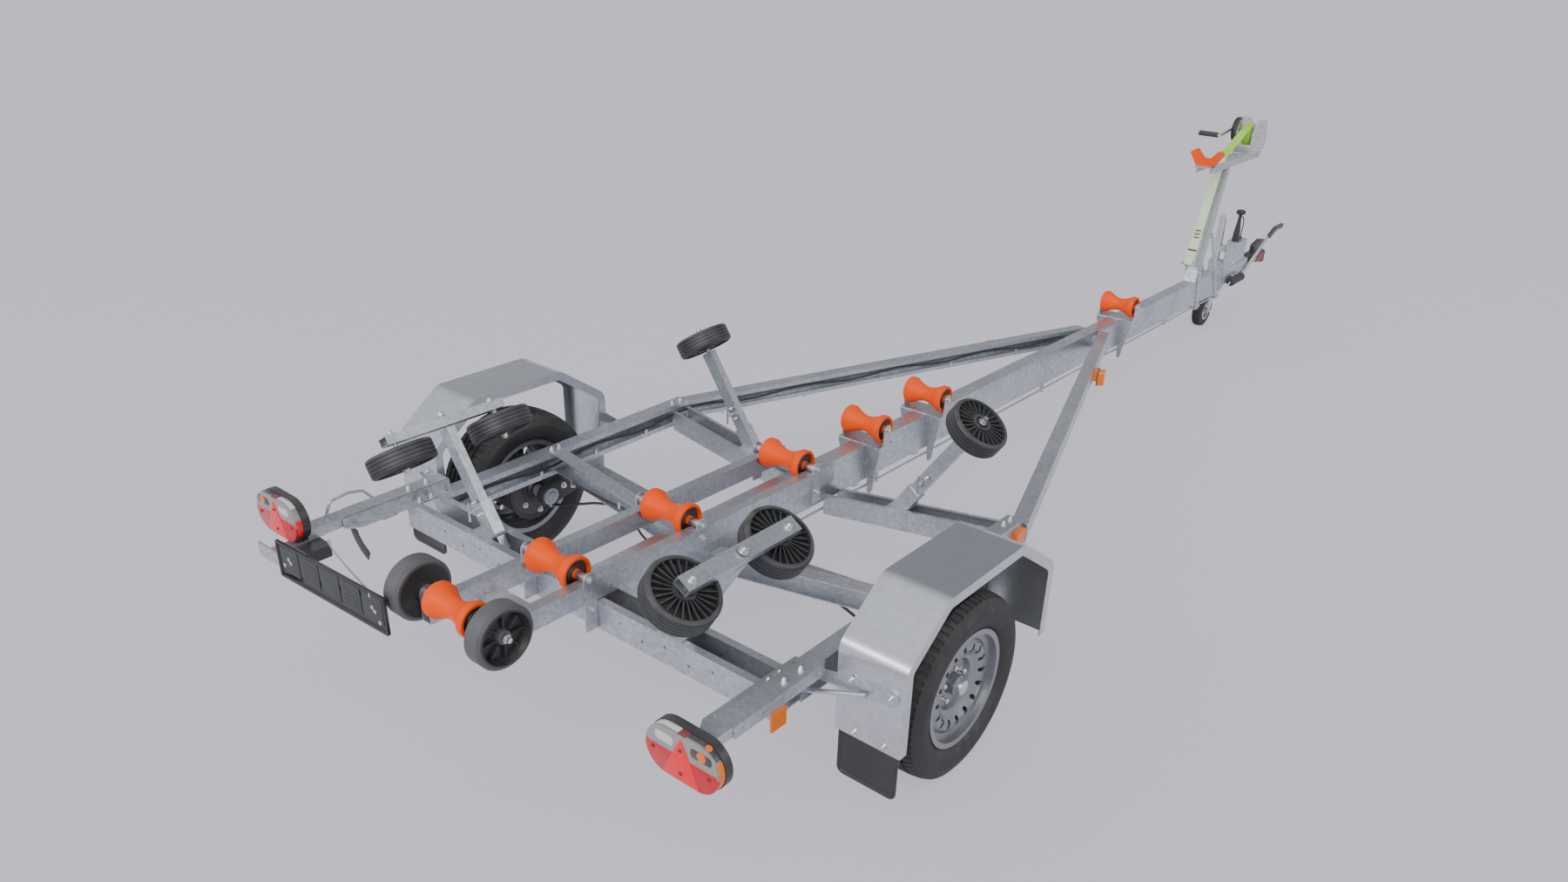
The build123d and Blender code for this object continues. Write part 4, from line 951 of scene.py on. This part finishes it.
def dress_supports():
    nut = hex_bolt(19, 9, 15)
    big_nut = hex_bolt(24, 11, 17)
    small = hex_bolt(13, 8, 11)
    for side, name in SIDE_NAMES.items():
        axis = lean_axis(side, REAR_LEAN)
        middle = spot(side * ROCKER_MID[0], ROCKER_MID[1], ROCKER_MID[2])
        places = []
        for way in (-1, 1):
            seat = middle + Vector((0, way * ROCKER_WHEEL_Y * MM, 0))
            places.append((seat + axis * 15 * MM, axis))
            places.append((seat - axis * (ROCKER_DROP + PIN_END) * MM, -axis))
        copies("rocker_nuts_" + name, nut, places, "rocker_" + name, BRIGHT_ZINC)
        copies("rocker_pivot_" + name, big_nut, [(middle + axis * 20.2 * MM, axis)], "frame", BRIGHT_ZINC)
        front = spot(side * FRONT_HULL_WHEEL[0], FRONT_HULL_WHEEL[1], FRONT_HULL_WHEEL[2])
        axis = lean_axis(side, FRONT_LEAN)
        copies("front_wheel_nut_" + name, nut, [(front + axis * PIN_END * MM, axis)], "frame", BRIGHT_ZINC)
        places = []
        for top, lean, height in SLEEVES:
            for lift in (-10, 26):
                x, y, z = post_spot(side, top, lean, height + lift)
                places.append((spot(x, y - SLEEVE_HALF, z), REARWARD))
                places.append((spot(x, y + SLEEVE_HALF, z), Y_AXIS))
        copies("sleeve_bolts_" + name, small, places, "frame", BRIGHT_ZINC)
        for count, (top, lean, height) in enumerate(SLEEVES, 1):
            x, y, z = post_spot(side, top, lean, height + 8)
            dress_handle("%s_%d" % (name, count), spot(x, y - SLEEVE_HALF, z))
    drop_patterns(nut, big_nut, small)


dress_supports()


# Keel rollers: black hub rings and nuts on the pins; dishes and ribs in the grey side wheels
HUB_FACE = 78.2
NUT_ON_BAR = 101.2
NUT_ON_TUBES = 143.2
RAIL_BOLTS = (
    (780, -520, 497.9), (780, -566, 497.9), (835, -500, 526), (835, -570, 526),
    (790, 660, 490.2), (790, 706, 490.2), (792, 18, 490.2), (792, 52, 490.2),
)


def dress_rollers():
    hub = turned("roller hub", [
        (0, 17.5), (0, 41.5), (2.5, 41), (2.5, 30), (6, 27), (6, 20), (3, 17.5), (0, 17.5),
    ], 32)
    nut = hex_bolt(17, 7, 13)
    for count, (y, z) in enumerate(KEEL_ROLLERS, 1):
        copies("roller_hubs_%d" % count, hub, both_sides(HUB_FACE, y, z), "roller_%d" % count, BLACK_PLASTIC)
        reach = NUT_ON_BAR if count <= 3 else NUT_ON_TUBES
        copies("roller_nuts_%d" % count, nut, both_sides(reach, y, z), "frame", BRIGHT_ZINC)
    y, z = REAR_ROLLER
    copies("rear_roller_hubs", hub, both_sides(HUB_FACE, y, z), "rear_rollers", BLACK_PLASTIC)
    copies("rear_roller_nuts", nut, both_sides(214.5, y, z), "frame", BRIGHT_ZINC)
    dish = turned("wheel dish ring", [
        (0, 26.5), (0, 70), (26, 78.4), (26.4, 80.5), (27.6, 80.5), (27.4, 77), (3, 67), (3, 26.5), (0, 26.5),
    ], 48)
    copies("rear_wheel_dishes", dish, both_sides(188.3, y, z), "rear_rollers", BLACK_PLASTIC)
    inner = turned("inner dish", [
        (0, 31), (0, 80), (1, 81.5), (2.2, 80), (1.2, 75), (1.2, 46), (2.6, 42), (2.6, 33), (0, 31),
    ], 48)
    copies("rear_wheel_inner_dishes", inner, both_sides(149.8, y, z, -1), "rear_rollers", BLACK_PLASTIC)
    rib = plate("dish rib", rounded(40, 3, 1, 2), 13)
    places = []
    for side in SIDES:
        for step in range(8):
            turn = math.tau * step / 8
            away = Vector((0, math.cos(turn), math.sin(turn)))
            places.append((spot(side * 191, y, z) + away * 47 * MM, (side, 0, 0), away))
    copies("rear_wheel_ribs", rib, places, "rear_rollers", BLACK_PLASTIC)
    drop_patterns(hub, nut, dish, inner, rib)


def dress_brackets():
    """Bolts of the drawbar brackets, the roller ears and the frame joints."""
    bolt = hex_bolt(16, 8, 13)
    places = []
    for y, z in KEEL_ROLLERS[:3]:
        for drop in (36, 118):
            places += both_sides(38.2, y, bar_top(y) - drop)
    for (y, z), drop in zip(KEEL_ROLLERS[3:], (88, 44, 96)):
        places += both_sides(NUT_ON_TUBES, y, z - drop)
    places += [(spot(side * x, y, z), Z_AXIS) for side in SIDES for x, y, z in RAIL_BOLTS]
    copies("frame_bolts", bolt, places, "frame", BRIGHT_ZINC)
    drop_patterns(bolt)


def dress_loom():
    """Steel edge clips over the loom."""
    clip = plate("edge clip", rounded(14, 22, 2, 2), 2)
    places = [(spot(-764.6, y, 424), X_AXIS) for y in (-330, -60, 210, 480, 640)]
    for y in (900, 1300, 1700, 2100, 2500):
        middle = 1060 - 0.3363 * y
        places.append((spot(-(middle - 30.4), y, 398), (0.948, -0.319, 0)))
    copies("loom_clips", clip, places, "frame", BRIGHT_ZINC)
    drop_patterns(clip)


dress_rollers()
dress_brackets()
dress_loom()


# Strap: lime on the drum, pale from the arm down to the hook, with brown stitched bars
STRAP_TURN = (4406.0, 1142.0)
STRAP_LOW = (4390.0, 1100.0)
HOOK = (4186.0, 560.0)
STRAP_HALF = 25.0


def strap_run(name, line, thick, finish):
    """A flat strap that follows (y, z) points, drawn as one edge line and widened across."""
    piece = draw_line(name, spot(-STRAP_HALF, *line[0]), [(0, y, z) for y, z in line])
    bpy.ops.mesh.extrude_edges_move(TRANSFORM_OT_translate={"value": (2 * STRAP_HALF * MM, 0, 0)})
    bpy.ops.mesh.select_all(action="SELECT")
    bpy.ops.mesh.normals_make_consistent(inside=False)
    bpy.ops.object.mode_set(mode="OBJECT")
    wall = piece.modifiers.new("strap thickness", "SOLIDIFY")
    wall.thickness = thick * MM
    wall.offset = 0
    select_only(piece)
    bpy.ops.object.modifier_apply(modifier=wall.name)
    return settle(piece, "frame", finish)


def along_strap(share):
    return tuple(a + (b - a) * share for a, b in zip(STRAP_LOW, HOOK))


def dress_strap():
    coil = turned("strap_coil", [
        (-25, 20.5), (-25, 59), (-24, 61), (-12, 61.6), (0, 61.2), (12, 61.7), (24, 61), (25, 59), (25, 20.5),
        (-25, 20.5),
    ], 56)
    settle(put(coil, spot(0, *DRUM), X_AXIS), "frame", LIME_WEBBING)
    leave = [
        (DRUM[0] + 62 * math.cos(math.radians(turn)), DRUM[1] + 62 * math.sin(math.radians(turn)))
        for turn in (70, 86, 100, 111)
    ]
    upper = strap_run("strap_lime", leave + [(4600, 1219.5), (4470, 1168), STRAP_TURN], 2.6, LIME_WEBBING)
    hook = Vector(HOOK)
    way = (hook - Vector(STRAP_LOW)).normalized()
    side_way = Vector((-way.y, way.x))
    end = hook - way * 30
    loop = [STRAP_TURN, STRAP_LOW, along_strap(0.33), along_strap(0.66), tuple(end)]
    lower = strap_run("strap_pale", loop, 2.6, PALE_WEBBING)
    base = math.degrees(math.atan2(-side_way.y, -side_way.x))
    eye_line = [tuple(end - side_way * 1.5), tuple(hook - side_way * 9.5 - way * 14)]
    eye_line += arc(HOOK, 8.2, base, base + 180, 8)
    eye_line += [tuple(hook + side_way * 9.5 - way * 14), tuple(end + side_way * 1.5)]
    eye = strap_run("strap_eye", eye_line, 2.4, PALE_WEBBING)
    pieces = [coil, upper, lower, eye]
    bars = [("strap_bar_%d" % (n + 1), 0.66 + 0.035 * n, (34, 7, 2.5, 3), 4.4, BROWN_THREAD) for n in range(3)]
    for name, share, size, thick, finish in bars + [("strap_keeper", 0.86, (52, 8, 2, 2), 5, BLACK_PLASTIC)]:
        y, z = along_strap(share)
        bar = plate(name, rounded(*size), thick)
        put(bar, spot(0, y - 2.0, z), (0, -side_way.x, -side_way.y), X_AXIS)
        pieces.append(settle(bar, "frame", finish, 0.6))
    for piece in pieces:
        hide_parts("winch_strap")


def dress_winch():
    bolt = hex_bolt(13, 6, 10)
    places = [(spot(50.2, *DRUM), X_AXIS)]
    for y, z in ((4740, 1160), (4930, 1150), (4870, 1282), (4840, 1275)):
        places += both_sides(50.2, y, z)
    for y in (4160, 4300, 4460, 4730, 4900):
        places += both_sides(41.2, y, 1108)
    for y, z in ((4290, 490), (4325, 380), (4375, 270), (4395, 690), (4585, 445), (4690, 262)):
        places += both_sides(41.2, y, z)
    copies("winch_bolts", bolt, places, "frame", BRIGHT_ZINC)
    drop_patterns(bolt)
    rim = turned("gear_cover_rim", [
        (0, 20), (0, 68), (3, 70), (6, 68), (4.5, 62), (4.5, 30), (7, 26), (7, 20), (0, 20),
    ], 48)
    settle(put(rim, spot(-72.1, 4770, 1256), (-1, 0, 0)), "frame", BLACK_PLASTIC)


dress_strap()
dress_winch()


# Plug lead: a short limp loop from the gland on the plug box to the plug parked on top of it
LEAD_ROUTE = (
    (0, 5045, 572), (0, 5045, 606), (0, 5054, 648), (0, 5038, 690), (0, 5000, 708), (0, 4967, 708),
)
LEAD_DIAMETER = 7.0


def dress_lead():
    lead = start_path("plug_lead", [spot(*point) for point in LEAD_ROUTE], LEAD_DIAMETER / 2, 12, 4)
    lead.data.materials.append(BLACK_RUBBER)
    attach(lead, "frame")
    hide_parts("plug_cable")


dress_lead()


# Running gear: what the brake backplates, the trailing arms and the middle crossmember carry
BACKPLATE_FACE = 889.8
BRAKE_ROUTE = (
    (888, 52, 216), (868, 60, 214), (800, 62, 236), (711, 66, 268), (614, 92, 300), (420, 140, 306),
    (200, 158, 300), (60, 160, 296),
)
CROSS_ROUTE = (
    (-765, 40, 410), (-755, 6, 408), (-720, 1, 398), (-669, 0, 399), (-584, 0, 393), (-500, 0, 389),
    (-417, 0, 386), (-395, 0, 388), (-372, 2, 378), (-350, 12, 345), (-330, 22, 300), (-306, 40, 262),
    (-270, 90, 250), (-200, 160, 262),
)
GUSSET_TALL = 214.0
MARKER_SPOT = (279.7, 2438, 402)
OBLIQUE_OUT = (0.948, 0.319)
ARM_ROOT = (200, 40)
ARM_ROOT_R = 44.6
ARM_HUB_R = 38.6
ARM_FACES = (797.4, 832.6)


def around(radius, count, start):
    """Points on a circle in the (y, z) plane."""
    turns = [math.radians(start) + math.tau * step / count for step in range(count)]
    return [(radius * math.cos(turn), radius * math.sin(turn)) for turn in turns]


def dress_backplates():
    """Hub ring, lip and bolts on the inner face of each brake backplate, and the brake cables."""
    ring = turned("hub ring", [
        (0, 26), (0, 56), (4, 56), (7, 52), (7, 42), (16, 38), (16, 28), (12, 26), (0, 26),
    ], 40)
    lip = turned("backplate lip", [
        (0, 106), (0, 121), (5, 121), (7, 118), (4, 113), (2, 106), (0, 106),
    ], 56)
    for name, pattern in (("hub_ring_", ring), ("backplate_lip_", lip)):
        for side, label in SIDE_NAMES.items():
            place = (spot(side * BACKPLATE_FACE, 0, TYRE_R), (-side, 0, 0))
            copies(name + label, pattern, [place], "frame", BLACK_PAINT)
    bolt = hex_bolt(15, 8, 12)
    places = []
    for y, z in around(74, 4, 45) + around(96, 2, 100):
        places += both_sides(BACKPLATE_FACE, y, TYRE_R + z, -1)
    copies("backplate_bolts", bolt, places, "frame", BRIGHT_ZINC)
    drop_patterns(ring, lip, bolt)
    for side, label in SIDE_NAMES.items():
        bent_rod("brake_cable_" + label, [spot(side * x, y, z) for x, y, z in BRAKE_ROUTE], 5, BLACK_RUBBER)
        sleeve = turned("cable_sleeve_" + label, [
            (0, 5.4), (0, 9), (26, 9), (30, 7), (30, 5.4), (0, 5.4),
        ], 20)
        settle(put(sleeve, spot(side * 889, 51, 216), (-side, 0.12, 0)), "frame", BRIGHT_ZINC)


def dress_cross_lead():
    """The rear lead crosses under the edge of the middle crossmember, then loops down towards the axle."""
    bent_rod("cross_lead", [spot(*point) for point in CROSS_ROUTE], 4.2, BLACK_RUBBER)
    clip = plate("edge clip", rounded(13, 26, 2, 2), 2)
    places = [(spot(x, -4.6, z), REARWARD) for x, z in ((-660, 407), (-404, 396))]
    copies("cross_clips", clip, places, "frame", BRIGHT_ZINC)
    drop_patterns(clip)


def dress_gussets():
    """Folded gussets under the rollers of the drawbar."""
    tall = GUSSET_TALL
    for count, (y, z) in enumerate(KEEL_ROLLERS[:3], 1):
        made = []
        for side in SIDES:
            outline = [(0, 0), (side * 60, 0), (side * 62, -10), (side * 15, -tall), (0, -tall)]
            half = plate("gusset half", outline, 3.6)
            made.append(put(half, spot(side * 38.3, y - 46, bar_top(y) - 2), (0, -tall, -27), X_AXIS))
        settle(join("roller_gussets_%d" % count, made), "frame", DARK_GALVANISED, 0.8)


def dress_tongue():
    """The tongue that hangs under the left lamp arm."""
    tongue = plate("arm_tongue", [
        (-26, 0), (16, 0), (22, -18), (40, -40), (74, -64), (58, -98), (22, -76), (-6, -46), (-20, -20),
    ], 4)
    settle(put(tongue, spot(-794, -806, 481), REARWARD, X_AXIS), "frame", BLACK_PAINT, 1.0)


def dress_front_markers():
    """Seats and deep lenses of the two markers on the oblique rails."""
    seat = plate("marker seat", rounded(66, 78, 6, 4), 4)
    lens = plate("marker lens", rounded(58, 68, 9, 4), 30)
    x, y, z = MARKER_SPOT
    for name, pattern, lift, finish in (
            ("front_marker_seats", seat, 9.1, BLACK_PLASTIC), ("front_marker_lenses", lens, 13, AMBER_LENS)):
        places = []
        for side in SIDES:
            away = Vector((side * OBLIQUE_OUT[0], OBLIQUE_OUT[1], 0))
            places.append((spot(side * x, y, z) + away * lift * MM, away))
        copies(name, pattern, places, "frame", finish)
    drop_patterns(seat, lens)


def dress_arms():
    """Black paint shells over the galvanised trailing arms, with the hub cap and two bolts on each."""
    root = math.degrees(math.atan2(ARM_ROOT[1], ARM_ROOT[0]))
    lap = math.degrees(math.asin((ARM_ROOT_R - ARM_HUB_R) / math.hypot(*ARM_ROOT)))
    outline = arc(ARM_ROOT, ARM_ROOT_R, root - 90 - lap, root + 90 + lap, 14)
    outline += arc((0, 0), ARM_HUB_R, root + 90 + lap, root + 270 - lap, 14)
    cap = turned("hub cap", [
        (0, 0), (0, 34), (7, 34), (9, 30), (9, 22), (17, 20), (19, 17), (19, 9), (15, 7), (15, 0),
    ], 32)
    inner, outer = ARM_FACES
    for side, label in SIDE_NAMES.items():
        shell = plate("arm_shell_" + label, outline, outer - inner)
        put(shell, spot(inner if side > 0 else -outer, 0, TYRE_R), X_AXIS, Y_AXIS)
        settle(shell, "frame", BLACK_PAINT, 1.2)
        place = (spot(side * inner, 0, TYRE_R), (-side, 0, 0))
        copies("hub_cap_" + label, cap, [place], "frame", DARK_GALVANISED)
    bolt = hex_bolt(17, 9, 13)
    places = both_sides(inner, 66, 322, -1) + both_sides(inner, 112, 306, -1)
    copies("arm_bolts", bolt, places, "frame", BRIGHT_ZINC)
    drop_patterns(cap, bolt)


dress_backplates()
dress_cross_lead()
dress_gussets()
dress_tongue()
dress_front_markers()
dress_arms()


# Front end: grooves and nuts of the jockey wheel, side plates of the coupling head, bolts of the housing
JOCKEY = (-95.0, 4870.0, 105.0)
JOCKEY_NUT = 44.3
COUPLING_SIDE = ((-82, -14), (-60, -30), (58, -34), (82, -16), (84, 8), (60, 22), (-50, 26), (-80, 16))
HOUSING_BOLTS = ((45.2, 4905, 352), (45.2, 4960, 352), (45.2, 5080, 352), (38.2, 4990, 520), (37.5, 5290, 388))


def dress_jockey():
    profile = [(-29, 62.4), (-29.6, 80), (-28, 94), (-25, 100)]
    for groove, crest in ((-18, 103), (-6, 105), (6, 105), (18, 103)):
        profile += [(groove - 4, crest), (groove - 2, 99), (groove + 2, 99), (groove + 4, crest)]
    profile += [(25, 100), (28, 94), (29.6, 80), (29, 62.4), (-29, 62.4)]
    tyre = turned("jockey_tread", profile, 56)
    settle(put(tyre, spot(*JOCKEY), X_AXIS), "jockey_wheel", TYRE_RUBBER)
    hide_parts("jockey_tyre")
    nut = hex_bolt(17, 8, 14)
    x, y, z = JOCKEY
    places = [(spot(x + side * JOCKEY_NUT, y, z), (side, 0, 0)) for side in SIDES]
    copies("jockey_nuts", nut, places, "jockey_fork", BRIGHT_ZINC)
    drop_patterns(nut)


def dress_coupling():
    for side, label in SIDE_NAMES.items():
        face = plate("coupling_side_" + label, COUPLING_SIDE, 4)
        put(face, spot(side * 37.2, 5400, 384), (side, 0, 0), (0, side, 0))
        settle(face, "frame", DARK_RED_PAINT, 1.2)
    bolt = hex_bolt(17, 8, 13)
    places = []
    for place in HOUSING_BOLTS:
        places += both_sides(*place)
    copies("housing_bolts", bolt, places, "frame", BRIGHT_ZINC)
    drop_patterns(bolt)


dress_jockey()
dress_coupling()
